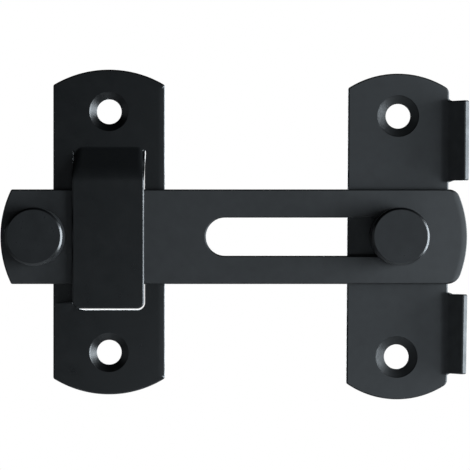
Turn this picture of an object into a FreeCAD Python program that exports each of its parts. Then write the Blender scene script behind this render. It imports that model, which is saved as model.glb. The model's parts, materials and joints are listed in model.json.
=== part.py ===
import FreeCAD, Part
import math
import os
import Sketcher

# Flip latch in black sheet steel, shown closed. A catch plate with a hook lanced out of it stands
# on the left and a pivot plate with two bent ears on the right. A slotted bar with a knob lies
# through the hook and turns and slides on a headed pin in the pivot plate.
# The origin is on the pin's axis at the mounting plane: X along the bar, Y into the wall, Z up.

# Driving dimensions, in millimetres and degrees.
SIZES = {
    "plate_gauge": 1.25,
    "bar_gauge": 1.25,
    "running_gap": 0.25,
    "plate_height": 65.0,
    "corner_round": 0.4,
    "edge_round": 0.3,
    "screw_spacing": 48.2,
    "screw_bore": 5.1,
    "sink_diameter": 8.4,
    "sink_depth": 1.05,
    "catch_width": 22.0,
    "catch_end_radius": 20.8,
    "catch_setback": 21.6,
    "catch_rise": 0.9,
    "window_width": 14.4,
    "window_foot": 15.6,
    "window_corner": 1.5,
    "lance_kerf": 0.1,
    "lance_top": 16.4,
    "hook_root": 17.1,
    "hook_crown": 10.0,
    "hook_recess": 0.65,
    "root_bend": 0.8,
    "crown_bend": 5.0,
    "shoulder_drop": 3.1,
    "shoulder_width": 1.6,
    "shoulder_root_bend": 0.5,
    "shoulder_crown_bend": 1.5,
    "pivot_width": 20.0,
    "pivot_end_radius": 19.0,
    "bend_line": 8.85,
    "ear_bend": 1.5,
    "ear_angle": 46.0,
    "ear_leaf": 4.2,
    "ear_start": 11.25,
    "ear_setback": 5.35,
    "waist_reach": 9.3,
    "waist_relief": 0.9,
    "ear_relief": 0.4,
    "outer_round": 1.5,
    "bar_width": 18.7,
    "bar_length": 92.9,
    "bar_tail": 13.6,
    "bar_end_radius": 18.6,
    "slot_width": 7.65,
    "slot_length": 43.6,
    "slot_tail": 5.3,
    "slot_clearance": 0.1,
    "head_diameter": 11.4,
    "head_height": 7.5,
    "head_round": 0.8,
    "head_chamfer": 0.25,
    "knob_setback": 7.3,
    "shank_diameter": 4.4,
    "peen_diameter": 6.2,
    "peen_depth": 0.6,
    "peen_recess": 0.05,
    "rivet_clearance": 0.1,
    "axial_play": 0.15,
}

FULL_TURN = 360.0
SHOULDER_STATIONS = 4
NEAR = 1e-4

# How far the bar's faces and its free end stand from the origin.
BAR_BACK = "(Sizes.plate_gauge + Sizes.running_gap)"
BAR_FRONT = "(Sizes.plate_gauge + Sizes.running_gap + Sizes.bar_gauge)"
BAR_REACH = "(Sizes.bar_length - Sizes.bar_tail)"

doc = FreeCAD.newDocument("flip_latch")
sheet = doc.addObject("Spreadsheet::Sheet", "Sizes")
for row, (alias, value) in enumerate(SIZES.items(), start=1):
    sheet.set(f"A{row}", alias)
    sheet.set(f"B{row}", str(value))
    sheet.setAlias(f"B{row}", alias)
doc.recompute()


def size(alias):
    """Value of one driving dimension."""
    return float(sheet.get(alias))


def bind(target, path, expression):
    """Tie a property or a named constraint to the sheet."""
    target.setExpression(path, expression)


def fix(sketch, name, expression, kind, *where):
    """Add a dimension to a sketch, name it and tie it to the sheet."""
    index = sketch.addConstraint(Sketcher.Constraint(kind, *where))
    sketch.renameConstraint(index, name)
    bind(sketch, f"Constraints.{name}", expression)


def line(sketch, start, end):
    """Straight edge of a sketch from start to end."""
    return sketch.addGeometry(Part.LineSegment(FreeCAD.Vector(*start, 0), FreeCAD.Vector(*end, 0)), False)


def arc(sketch, centre, radius, start, end):
    """Arc of a sketch, anticlockwise between two angles in degrees."""
    circle = Part.Circle(FreeCAD.Vector(*centre, 0), FreeCAD.Vector(0, 0, 1), radius)
    return sketch.addGeometry(Part.ArcOfCircle(circle, math.radians(start), math.radians(end)), False)


def join(sketch, *corners):
    """Make pairs of edge ends meet: each corner is (edge, end, edge, end), with 1 the start and 2 the end."""
    for corner in corners:
        sketch.addConstraint(Sketcher.Constraint("Coincident", *corner))


def upright(sketch, *edges):
    """Make edges vertical."""
    for edge in edges:
        sketch.addConstraint(Sketcher.Constraint("Vertical", edge))


def level(sketch, *edges):
    """Make edges horizontal."""
    for edge in edges:
        sketch.addConstraint(Sketcher.Constraint("Horizontal", edge))


def sketch_on(body, role, name):
    """New sketch on one of a body's own origin planes."""
    plane = next(item for item in body.Origin.OriginFeatures if item.Role == role)
    sketch = body.newObject("Sketcher::SketchObject", name)
    sketch.AttachmentSupport = [(plane, "")]
    sketch.MapMode = "FlatFace"
    return sketch


def new_body(name):
    """New body, labelled as its node."""
    body = doc.addObject("PartDesign::Body", name)
    body.Label = name
    return body


def pad(body, sketch, name, length):
    """Pad a sketch along its normal by a length from the sheet."""
    feature = body.newObject("PartDesign::Pad", name)
    feature.Profile = sketch
    bind(feature, "Length", length)
    return feature


def pocket_through(body, sketch, name):
    """Cut a sketch through the whole body, to both sides."""
    feature = body.newObject("PartDesign::Pocket", name)
    feature.Profile = sketch
    feature.Type = "ThroughAll"
    feature.Midplane = True
    return feature


def edges_where(shape, test):
    """Names of the edges of a shape whose middle point passes a test."""
    found = []
    for number, edge in enumerate(shape.Edges, start=1):
        middle = edge.valueAt((edge.FirstParameter + edge.LastParameter) / 2)
        if test(edge, middle):
            found.append(f"Edge{number}")
    return found


def fillet(body, name, radius, test):
    """Fillet the edges of a body's last feature that pass a test."""
    doc.recompute()
    base = body.Tip
    feature = body.newObject("PartDesign::Fillet", name)
    feature.Base = (base, edges_where(base.Shape, test))
    bind(feature, "Radius", radius)
    body.Tip = feature


def round_strip(body, front):
    """Break the four corners of a punched strip, then its front edge, which the punch draws in."""
    doc.recompute()
    box = body.Tip.Shape.optimalBoundingBox()

    def outermost(point):
        on_side = min(point.x - box.XMin, box.XMax - point.x) < NEAR
        on_end = min(point.z - box.ZMin, box.ZMax - point.z) < NEAR
        return on_side or on_end

    def corner(edge, middle):
        ends = [vertex.Point for vertex in edge.Vertexes]
        through = abs(ends[0].y - ends[-1].y) > NEAR
        return through and outermost(middle) and edge.Curve.TypeId == "Part::GeomLine"

    def front_edge(edge, middle):
        return abs(middle.y + front) < NEAR and outermost(middle)

    fillet(body, f"{body.Name}_corners", "Sizes.corner_round", corner)
    fillet(body, f"{body.Name}_edges", "Sizes.edge_round", front_edge)


def round_pivot_plate(body):
    """Break the pivot plate's corners, wide above and below the ears, then the flat front's edge."""
    doc.recompute()
    half, gauge = size("pivot_width") / 2, size("plate_gauge")
    above_ears = size("plate_height") / 2 - size("ear_setback") + size("ear_relief") + NEAR

    def through(edge):
        ends = [vertex.Point for vertex in edge.Vertexes]
        return abs(ends[0].y - ends[-1].y) > gauge / 2

    def left_corner(edge, middle):
        return through(edge) and abs(middle.x + half) < NEAR

    def right_corner(edge, middle):
        return through(edge) and abs(middle.x - half) < NEAR and abs(middle.z) > above_ears

    def front_edge(edge, middle):
        on_front = all(abs(vertex.Point.y + gauge) < NEAR for vertex in edge.Vertexes)
        return on_front and abs(middle.y + gauge) < NEAR and middle.x < size("bend_line") - NEAR

    fillet(body, "pivot_left_corners", "Sizes.corner_round", left_corner)
    fillet(body, "pivot_right_corners", "Sizes.outer_round", right_corner)
    fillet(body, "pivot_edges", "Sizes.edge_round", front_edge)


def strip_outline(sketch, length, width, radius, shift, upended):
    """Outline of a strip with two straight sides and a shallow arc at each end.

    The strip runs along the sketch's first axis, or along its second where upended is true, and its
    middle is moved along itself by shift. length, width, radius and shift are (alias sum, value).
    """
    half_length = length[1] / 2
    half_width = width[1] / 2
    centre = half_length - radius[1]
    corner = centre + math.sqrt(radius[1] ** 2 - half_width ** 2)
    spread = math.degrees(math.asin(half_width / radius[1]))
    turn = 90 if upended else 0

    def at(along, across):
        moved = along + shift[1]
        return (-across, moved) if upended else (moved, across)

    lower = line(sketch, at(-corner, -half_width), at(corner, -half_width))
    far = arc(sketch, at(centre, 0), radius[1], turn - spread, turn + spread)
    upper = line(sketch, at(corner, half_width), at(-corner, half_width))
    near = arc(sketch, at(-centre, 0), radius[1], turn + 180 - spread, turn + 180 + spread)
    join(sketch, (lower, 2, far, 1), (far, 2, upper, 1), (upper, 2, near, 1), (near, 2, lower, 1))
    axis = -2 if upended else -1
    (upright if upended else level)(sketch, lower, upper)
    sketch.addConstraint(Sketcher.Constraint("PointOnObject", far, 3, axis))
    sketch.addConstraint(Sketcher.Constraint("PointOnObject", near, 3, axis))
    sketch.addConstraint(Sketcher.Constraint("Equal", far, near))
    along = "DistanceY" if upended else "DistanceX"
    across = "DistanceX" if upended else "DistanceY"
    first, second = (upper, lower) if upended else (lower, upper)
    fix(sketch, "low_side", f"-({width[0]}) / 2", across, -1, 1, first, 1, -half_width)
    fix(sketch, "high_side", f"({width[0]}) / 2", across, -1, 1, second, 1, half_width)
    fix(sketch, "end_radius", radius[0], "Radius", far, radius[1])
    fix(sketch, "far_centre", f"{shift[0]} + ({length[0]}) / 2 - ({radius[0]})", along, -1, 1, far, 3,
        shift[1] + centre)
    fix(sketch, "near_centre", f"({length[0]}) / 2 - ({radius[0]}) - ({shift[0]})", along, near, 3, -1, 1,
        centre - shift[1])


def hole_section(sketch, depth, bore, mouth, mouth_depth, front):
    """Half section of a countersunk hole, for turning about the sketch's first axis.

    The hole runs from the back at 0 to the front at -depth, and its mouth is at the front or at the
    back. Each size is (expression, value).
    """
    if front:
        face, throat = -depth[1], -(depth[1] - mouth_depth[1])
        other = 0.0
    else:
        face, throat = 0.0, -mouth_depth[1]
        other = -depth[1]
    points = [(other, 0.0), (other, bore[1] / 2), (throat, bore[1] / 2), (face, mouth[1] / 2), (face, 0.0)]
    sides = [line(sketch, points[i], points[(i + 1) % 5]) for i in range(5)]
    join(sketch, *[(sides[i], 2, sides[(i + 1) % 5], 1) for i in range(5)])
    upright(sketch, sides[0], sides[3])
    level(sketch, sides[1], sides[4])
    sketch.addConstraint(Sketcher.Constraint("PointOnObject", sides[4], 1, -1))
    back = sides[0] if front else sides[3]
    sketch.addConstraint(Sketcher.Constraint("PointOnObject", back, 1, -2))
    fix(sketch, "depth", depth[0], "DistanceX", *((sides[4], 1, sides[4], 2) if front else
                                                 (sides[4], 2, sides[4], 1)), depth[1])
    fix(sketch, "bore", f"({bore[0]}) / 2", "DistanceY", sides[0], 1, sides[0], 2, bore[1] / 2)
    fix(sketch, "mouth", f"({mouth[0]}) / 2", "DistanceY", sides[3], 2, sides[3], 1, mouth[1] / 2)
    fix(sketch, "mouth_depth", mouth_depth[0], "DistanceX",
        *((sides[2], 2, sides[2], 1) if front else (sides[2], 1, sides[2], 2)), mouth_depth[1])


def groove(body, sketch, name):
    """Turn a sketch about its own first axis and cut it from the body."""
    feature = body.newObject("PartDesign::Groove", name)
    feature.Profile = sketch
    feature.ReferenceAxis = (sketch, ["H_Axis"])
    feature.Angle = FULL_TURN
    return feature


def mirror_down(body, features, name):
    """Repeat cuts on the lower half of a body."""
    plane = next(item for item in body.Origin.OriginFeatures if item.Role == "XY_Plane")
    mirrored = body.newObject("PartDesign::Mirrored", name)
    mirrored.Originals = features
    mirrored.MirrorPlane = (plane, [""])
    body.Tip = mirrored
    return mirrored


def drill_screw_holes(body):
    """Two countersunk screw holes on a plate's centre line."""
    sketch = sketch_on(body, "YZ_Plane", f"{body.Name}_screw_section")
    bind(sketch, "AttachmentOffset.Base.y", "Sizes.screw_spacing / 2")
    hole_section(sketch, ("Sizes.plate_gauge", size("plate_gauge")), ("Sizes.screw_bore", size("screw_bore")),
                 ("Sizes.sink_diameter", size("sink_diameter")), ("Sizes.sink_depth", size("sink_depth")), True)
    hole = groove(body, sketch, f"{body.Name}_screw_hole")
    return mirror_down(body, [hole], f"{body.Name}_screw_holes")


def place(sketch, name, edge, end, across, along):
    """Dimension one corner of a sketch from its origin.

    across and along are (expression, value); None leaves that direction free.
    """
    if across:
        fix(sketch, f"{name}_across", across[0], "DistanceX", -1, 1, edge, end, across[1])
    if along:
        fix(sketch, f"{name}_along", along[0], "DistanceY", -1, 1, edge, end, along[1])


def slot_outline(sketch):
    """Round-ended slot along the sketch's first axis."""
    radius = size("slot_width") / 2
    right = size("slot_tail") - radius
    left = size("slot_tail") - size("slot_length") + radius
    lower = line(sketch, (left, -radius), (right, -radius))
    near = arc(sketch, (right, 0), radius, -90, 90)
    upper = line(sketch, (right, radius), (left, radius))
    far = arc(sketch, (left, 0), radius, 90, 270)
    for first, second in ((lower, near), (near, upper), (upper, far), (far, lower)):
        sketch.addConstraint(Sketcher.Constraint("Tangent", first, 2, second, 1))
    sketch.addConstraint(Sketcher.Constraint("PointOnObject", near, 3, -1))
    sketch.addConstraint(Sketcher.Constraint("PointOnObject", far, 3, -1))
    fix(sketch, "end_radius", "Sizes.slot_width / 2", "Radius", near, radius)
    place(sketch, "near", near, 3, ("Sizes.slot_tail - Sizes.slot_width / 2", right), None)
    place(sketch, "far", far, 3, ("Sizes.slot_tail - Sizes.slot_length + Sizes.slot_width / 2", left), None)


def window_outline(sketch):
    """Opening that the hook is lanced from: square at the top, rounded at its lower corners."""
    half = size("window_width") / 2
    inner = half - size("lance_kerf")
    root, top, foot = size("hook_root"), size("lance_top"), -size("window_foot")
    radius = size("window_corner")
    right = line(sketch, (half, foot + radius), (half, top))
    right_step = line(sketch, (half, top), (inner, top))
    right_rise = line(sketch, (inner, top), (inner, root))
    head = line(sketch, (inner, root), (-inner, root))
    left_rise = line(sketch, (-inner, root), (-inner, top))
    left_step = line(sketch, (-inner, top), (-half, top))
    left = line(sketch, (-half, top), (-half, foot + radius))
    left_round = arc(sketch, (-half + radius, foot + radius), radius, 180, 270)
    bottom = line(sketch, (-half + radius, foot), (half - radius, foot))
    right_round = arc(sketch, (half - radius, foot + radius), radius, 270, 360)
    join(sketch, (right, 2, right_step, 1), (right_step, 2, right_rise, 1), (right_rise, 2, head, 1),
         (head, 2, left_rise, 1), (left_rise, 2, left_step, 1), (left_step, 2, left, 1))
    for first, second in ((left, left_round), (left_round, bottom), (bottom, right_round), (right_round, right)):
        sketch.addConstraint(Sketcher.Constraint("Tangent", first, 2, second, 1))
    upright(sketch, right, right_rise, left_rise, left)
    level(sketch, right_step, head, left_step, bottom)
    sketch.addConstraint(Sketcher.Constraint("Equal", left_round, right_round))
    sketch.addConstraint(Sketcher.Constraint("Equal", left_step, right_step))
    fix(sketch, "corner", "Sizes.window_corner", "Radius", left_round, radius)
    fix(sketch, "kerf", "Sizes.lance_kerf", "DistanceX", right_step, 2, right_step, 1, size("lance_kerf"))
    place(sketch, "right", right, 2, ("Sizes.window_width / 2", half), ("Sizes.lance_top", top))
    place(sketch, "left", left, 1, ("-Sizes.window_width / 2", -half), None)
    place(sketch, "root", head, 1, None, ("Sizes.hook_root", root))
    place(sketch, "foot", bottom, 1, None, ("-Sizes.window_foot", foot))


def hook_section(across, root, root_bend, crown_bend):
    """Side section of the lanced hook at one distance from its middle.

    The sheet leaves the plate at root, bends forward, runs down a ramp, bends back and hangs flat in
    front of the bar. The ramp's angle follows from its height and its run between the two bends.
    """
    gauge = size("plate_gauge")
    lift = 2 * size("running_gap") + size("bar_gauge") + gauge
    run = root - size("hook_crown")
    bends = root_bend + crown_bend + gauge
    slack = lift - bends
    angle = math.atan2(slack, run) + math.asin(bends / math.hypot(run, slack))
    top = size("hook_root") + gauge
    end = -size("window_foot") + size("hook_recess")
    crown = size("hook_crown")

    def turned(centre_out, centre_up, radius, degrees):
        """Point of a bend, from the bend's middle; out is towards the front."""
        return FreeCAD.Vector(across, -(centre_out + radius * math.cos(degrees)),
                              centre_up + radius * math.sin(degrees))

    def bend(centre_out, centre_up, radius, start, stop):
        """Arc of a bend between two angles."""
        points = [turned(centre_out, centre_up, radius, start + (stop - start) * part) for part in (0, 0.5, 1)]
        return Part.Arc(*points).toShape(), points[0], points[2]

    root_out = gauge + root_bend
    crown_out = lift - crown_bend
    full = math.pi
    back_root = bend(root_out, root, root_bend + gauge, full, full + angle)
    back_crown = bend(crown_out, crown, crown_bend, angle, 0)
    front_crown = bend(crown_out, crown, crown_bend + gauge, 0, angle)
    front_root = bend(root_out, root, root_bend, full + angle, full)

    def straight(start, stop):
        return Part.LineSegment(start, stop).toShape()

    back_top = FreeCAD.Vector(across, 0, top)
    front_top = FreeCAD.Vector(across, -gauge, top)
    back_end = FreeCAD.Vector(across, -lift, end)
    front_end = FreeCAD.Vector(across, -lift - gauge, end)
    return Part.Wire([
        straight(back_top, back_root[1]),
        back_root[0],
        straight(back_root[2], back_crown[1]),
        back_crown[0],
        straight(back_crown[2], back_end),
        straight(back_end, front_end),
        straight(front_end, front_crown[1]),
        front_crown[0],
        straight(front_crown[2], front_root[1]),
        front_root[0],
        straight(front_root[2], front_top),
        straight(front_top, back_top),
    ])


def across_foot(edge, foot):
    """True for the two edges that run through the sheet at the lower corners of the hook."""
    ends = [vertex.Point for vertex in edge.Vertexes]
    along_sheet = abs(ends[0].y - ends[-1].y) > size("plate_gauge") / 2
    return along_sheet and all(abs(point.z - foot) < NEAR for point in ends)


def on_front(edge, front):
    """True for the edges round the hook's flat front, from one end of its crown to the other."""
    middle = edge.valueAt((edge.FirstParameter + edge.LastParameter) / 2)
    level = all(abs(point.y + front) < NEAR for point in [vertex.Point for vertex in edge.Vertexes] + [middle])
    return level and middle.z < size("hook_crown") - NEAR


def lanced_hook():
    """Hook as one lofted solid: a level middle, and shoulders where the root sinks to the lanced edges."""
    half = size("window_width") / 2 - size("lance_kerf")
    sections = []
    for side in (-1, 1):
        stations = []
        for station in range(SHOULDER_STATIONS):
            part = station / (SHOULDER_STATIONS - 1)
            sink = 1 - math.sqrt(1 - part ** 2) if part < 1 else 1.0
            root = size("hook_root") - size("shoulder_drop") * sink
            root_bend = size("root_bend") + (size("shoulder_root_bend") - size("root_bend")) * sink
            crown_bend = size("crown_bend") + (size("shoulder_crown_bend") - size("crown_bend")) * sink
            across = side * (half - size("shoulder_width") * (1 - part))
            stations.append(hook_section(across, root, root_bend, crown_bend))
        sections.extend(stations[::-1] if side < 0 else stations)
    loft = Part.makeLoft(sections, True, True).removeSplitter()
    foot = size("hook_recess") - size("window_foot")
    corners = [edge for edge in loft.Edges if across_foot(edge, foot)]
    tab = loft.makeFillet(size("window_corner") - size("lance_kerf"), corners)
    front = 2 * size("running_gap") + size("bar_gauge") + 2 * size("plate_gauge")
    edges = [edge for edge in tab.Edges if on_front(edge, front)]
    return tab.makeFillet(size("edge_round"), edges)


def build_catch_plate():
    """Catch plate: a screwed strip with the hook pressed out of its middle."""
    body = new_body("catch_blank")
    outline = sketch_on(body, "XZ_Plane", "catch_outline")
    strip_outline(outline, ("Sizes.plate_height", size("plate_height")), ("Sizes.catch_width", size("catch_width")),
                  ("Sizes.catch_end_radius", size("catch_end_radius")), ("0", 0.0), True)
    pad(body, outline, "catch_strip", "Sizes.plate_gauge")
    round_strip(body, size("plate_gauge"))
    window = sketch_on(body, "XZ_Plane", "catch_window_outline")
    window_outline(window)
    pocket_through(body, window, "catch_window")
    drill_screw_holes(body)
    hook = doc.addObject("Part::Feature", "catch_hook")
    hook.Shape = lanced_hook()
    plate = doc.addObject("Part::Fuse", "catch_plate")
    plate.Base = body
    plate.Tool = hook
    plate.Refine = True
    bind(plate, "Placement.Base.x", f"Sizes.catch_setback - {BAR_REACH}")
    bind(plate, "Placement.Base.z", "Sizes.catch_rise")
    return plate


def bent_section(sketch):
    """End view of the pivot plate: flat, then bent forward along one line into a straight leaf."""
    gauge, radius, start = size("plate_gauge"), size("ear_bend"), size("bend_line")
    leaf = size("ear_leaf")
    turn = math.radians(size("ear_angle"))
    left = -size("pivot_width")
    centre = (start, -gauge - radius)

    def on_bend(distance, extra):
        return (centre[0] + distance * math.sin(turn) + extra * math.cos(turn),
                centre[1] + distance * math.cos(turn) - extra * math.sin(turn))

    inner, outer = radius, radius + gauge
    inner_start, outer_start = on_bend(inner, 0), on_bend(outer, 0)
    inner_tip, outer_tip = on_bend(inner, leaf), on_bend(outer, leaf)
    back = line(sketch, (left, 0), (start, 0))
    outer_arc = arc(sketch, centre, outer, 90 - size("ear_angle"), 90)
    outer_leaf = line(sketch, outer_start, outer_tip)
    tip = line(sketch, outer_tip, inner_tip)
    inner_leaf = line(sketch, inner_tip, inner_start)
    inner_arc = arc(sketch, centre, inner, 90 - size("ear_angle"), 90)
    front = line(sketch, (start, -gauge), (left, -gauge))
    side = line(sketch, (left, -gauge), (left, 0))
    join(sketch, (outer_leaf, 2, tip, 1), (tip, 2, inner_leaf, 1), (front, 2, side, 1), (side, 2, back, 1))
    for corner in ((back, 2, outer_arc, 2), (outer_arc, 1, outer_leaf, 1), (inner_leaf, 2, inner_arc, 1),
                   (inner_arc, 2, front, 1)):
        sketch.addConstraint(Sketcher.Constraint("Tangent", *corner))
    level(sketch, back, front)
    upright(sketch, side)
    join(sketch, (outer_arc, 3, inner_arc, 3))
    sketch.addConstraint(Sketcher.Constraint("Parallel", inner_leaf, outer_leaf))
    sketch.addConstraint(Sketcher.Constraint("Perpendicular", inner_leaf, tip))
    sketch.addConstraint(Sketcher.Constraint("PointOnObject", back, 1, -1))
    fix(sketch, "gauge", "Sizes.plate_gauge", "DistanceY", side, 1, side, 2, gauge)
    fix(sketch, "bend", "Sizes.ear_bend", "Radius", inner_arc, radius)
    fix(sketch, "leaf", "Sizes.ear_leaf", "Distance", inner_leaf, leaf)
    fix(sketch, "angle", "-Sizes.ear_angle", "Angle", outer_leaf, -turn)
    place(sketch, "bend_line", back, 2, ("Sizes.bend_line", start), None)
    place(sketch, "left", side, 2, ("-Sizes.pivot_width", left), None)


def pivot_trim(sketch):
    """Front view of the pivot plate's outline, inside a frame that is cut away around it."""
    half = size("pivot_width") / 2
    rise = size("plate_height") / 2
    radius = size("pivot_end_radius")
    corner = rise - radius + math.sqrt(radius ** 2 - half ** 2)
    near, far = size("ear_start"), size("plate_height") / 2 - size("ear_setback")
    beyond = size("bend_line") + size("ear_bend") + 2 * size("plate_gauge") + size("ear_leaf")
    waist, waist_relief, relief = size("waist_reach"), size("waist_relief"), size("ear_relief")
    spread = math.degrees(math.asin(half / radius))

    left = line(sketch, (-half, corner), (-half, -corner))
    bottom = arc(sketch, (0, radius - rise), radius, 270 - spread, 270 + spread)
    top = arc(sketch, (0, rise - radius), radius, 90 - spread, 90 + spread)
    low_side = line(sketch, (half, -corner), (half, -far - relief))
    low_root = arc(sketch, (half + relief, -far - relief), relief, 90, 180)
    low_foot = line(sketch, (half + relief, -far), (beyond, -far))
    low_tip = line(sketch, (beyond, -far), (beyond, -near))
    low_head = line(sketch, (beyond, -near), (waist + waist_relief, -near))
    low_waist = arc(sketch, (waist + waist_relief, -near + waist_relief), waist_relief, 180, 270)
    middle = line(sketch, (waist, -near + waist_relief), (waist, near - waist_relief))
    high_waist = arc(sketch, (waist + waist_relief, near - waist_relief), waist_relief, 90, 180)
    high_foot = line(sketch, (waist + waist_relief, near), (beyond, near))
    high_tip = line(sketch, (beyond, near), (beyond, far))
    high_head = line(sketch, (beyond, far), (half + relief, far))
    high_root = arc(sketch, (half + relief, far + relief), relief, 180, 270)
    high_side = line(sketch, (half, far + relief), (half, corner))
    join(sketch, (high_side, 2, top, 1), (top, 2, left, 1), (left, 2, bottom, 1), (bottom, 2, low_side, 1),
         (low_foot, 2, low_tip, 1), (low_tip, 2, low_head, 1), (high_foot, 2, high_tip, 1),
         (high_tip, 2, high_head, 1))
    for where in ((low_side, 2, low_root, 2), (low_root, 1, low_foot, 1), (low_head, 2, low_waist, 2),
                  (low_waist, 1, middle, 1), (middle, 2, high_waist, 2), (high_waist, 1, high_foot, 1),
                  (high_head, 2, high_root, 2), (high_root, 1, high_side, 1)):
        sketch.addConstraint(Sketcher.Constraint("Tangent", *where))
    upright(sketch, left, low_side, low_tip, middle, high_tip, high_side)
    level(sketch, low_foot, low_head, high_foot, high_head)
    sketch.addConstraint(Sketcher.Constraint("PointOnObject", top, 3, -2))
    sketch.addConstraint(Sketcher.Constraint("PointOnObject", bottom, 3, -2))
    fix(sketch, "top_radius", "Sizes.pivot_end_radius", "Radius", top, radius)
    fix(sketch, "bottom_radius", "Sizes.pivot_end_radius", "Radius", bottom, radius)
    for name, edge in (("low", low_root), ("high", high_root)):
        fix(sketch, f"{name}_relief", "Sizes.ear_relief", "Radius", edge, relief)
    for name, edge in (("low", low_waist), ("high", high_waist)):
        fix(sketch, f"{name}_waist_relief", "Sizes.waist_relief", "Radius", edge, waist_relief)
    centre = "Sizes.plate_height / 2 - Sizes.pivot_end_radius"
    ear_far = "(Sizes.plate_height / 2 - Sizes.ear_setback)"
    reach = "Sizes.bend_line + Sizes.ear_bend + 2 * Sizes.plate_gauge + Sizes.ear_leaf"
    place(sketch, "top", top, 3, None, (centre, rise - radius))
    place(sketch, "bottom", bottom, 3, None, (f"-({centre})", radius - rise))
    place(sketch, "left", left, 1, ("-Sizes.pivot_width / 2", -half), None)
    place(sketch, "low_side", low_side, 1, ("Sizes.pivot_width / 2", half), None)
    place(sketch, "high_side", high_side, 2, ("Sizes.pivot_width / 2", half), None)
    place(sketch, "middle", middle, 1, ("Sizes.waist_reach", waist), None)
    place(sketch, "low_tip", low_tip, 1, (reach, beyond), (f"-{ear_far}", -far))
    place(sketch, "high_tip", high_tip, 2, (reach, beyond), (ear_far, far))
    place(sketch, "low_near", low_tip, 2, None, ("-Sizes.ear_start", -near))
    place(sketch, "high_near", high_tip, 1, None, ("Sizes.ear_start", near))

    outside = "(Sizes.plate_height + Sizes.pivot_width + Sizes.ear_leaf)"
    side = size("plate_height") + size("pivot_width") + size("ear_leaf")
    frame = [(-side, -side), (side, -side), (side, side), (-side, side)]
    edges = [line(sketch, frame[i], frame[(i + 1) % 4]) for i in range(4)]
    join(sketch, *[(edges[i], 2, edges[(i + 1) % 4], 1) for i in range(4)])
    level(sketch, edges[0], edges[2])
    upright(sketch, edges[1], edges[3])
    place(sketch, "frame_low", edges[0], 1, (f"-{outside}", -side), (f"-{outside}", -side))
    place(sketch, "frame_high", edges[2], 1, (outside, side), (outside, side))


def build_pivot_plate():
    """Pivot plate: a screwed strip with two ears bent forward along its right side."""
    body = new_body("pivot_plate")
    section = sketch_on(body, "XY_Plane", "pivot_section")
    bent_section(section)
    blank = pad(body, section, "pivot_strip", "Sizes.plate_height + 2 * Sizes.plate_gauge")
    blank.Midplane = True
    trim = sketch_on(body, "XZ_Plane", "pivot_outline")
    pivot_trim(trim)
    pocket_through(body, trim, "pivot_profile")
    round_pivot_plate(body)
    drill_screw_holes(body)
    bore = sketch_on(body, "YZ_Plane", "pivot_bore_section")
    hole_section(bore, ("Sizes.plate_gauge", size("plate_gauge")),
                 ("Sizes.shank_diameter + 2 * Sizes.rivet_clearance",
                  size("shank_diameter") + 2 * size("rivet_clearance")),
                 ("Sizes.peen_diameter + 2 * Sizes.rivet_clearance",
                  size("peen_diameter") + 2 * size("rivet_clearance")),
                 ("Sizes.peen_depth", size("peen_depth")), False)
    groove(body, bore, "pivot_bore")
    return body


def round_slot(body):
    """Roll the slot's front edge, which the punch draws in."""
    front = size("plate_gauge") + size("running_gap") + size("bar_gauge")
    start = size("slot_tail") - size("slot_length") - NEAR

    def front_edge(edge, middle):
        inside = abs(middle.z) < size("slot_width") / 2 + NEAR and start < middle.x < size("slot_tail") + NEAR
        return inside and abs(middle.y + front) < NEAR

    fillet(body, "slot_edges", "Sizes.edge_round", front_edge)


def build_slotted_bar():
    """Slotted bar: slides and turns on the pin, with a riveted knob at its left end."""
    body = new_body("slotted_bar")
    outline = sketch_on(body, "XZ_Plane", "bar_outline")
    bind(outline, "AttachmentOffset.Base.z", BAR_BACK)
    strip_outline(outline, ("Sizes.bar_length", size("bar_length")), ("Sizes.bar_width", size("bar_width")),
                  ("Sizes.bar_end_radius", size("bar_end_radius")),
                  ("Sizes.bar_tail - Sizes.bar_length / 2", size("bar_tail") - size("bar_length") / 2), False)
    pad(body, outline, "bar_strip", "Sizes.bar_gauge")
    round_strip(body, size("plate_gauge") + size("running_gap") + size("bar_gauge"))
    slot = sketch_on(body, "XZ_Plane", "bar_slot_outline")
    slot_outline(slot)
    pocket_through(body, slot, "bar_slot")
    round_slot(body)
    hole = sketch_on(body, "YZ_Plane", "knob_hole_section")
    bind(hole, "AttachmentOffset.Base.x", f"-{BAR_BACK}")
    bind(hole, "AttachmentOffset.Base.z", f"Sizes.knob_setback - {BAR_REACH}")
    hole_section(hole, ("Sizes.bar_gauge", size("bar_gauge")),
                 ("Sizes.shank_diameter", size("shank_diameter")), ("Sizes.peen_diameter", size("peen_diameter")),
                 ("Sizes.peen_depth", size("peen_depth")), False)
    groove(body, hole, "knob_hole")
    return body


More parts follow.
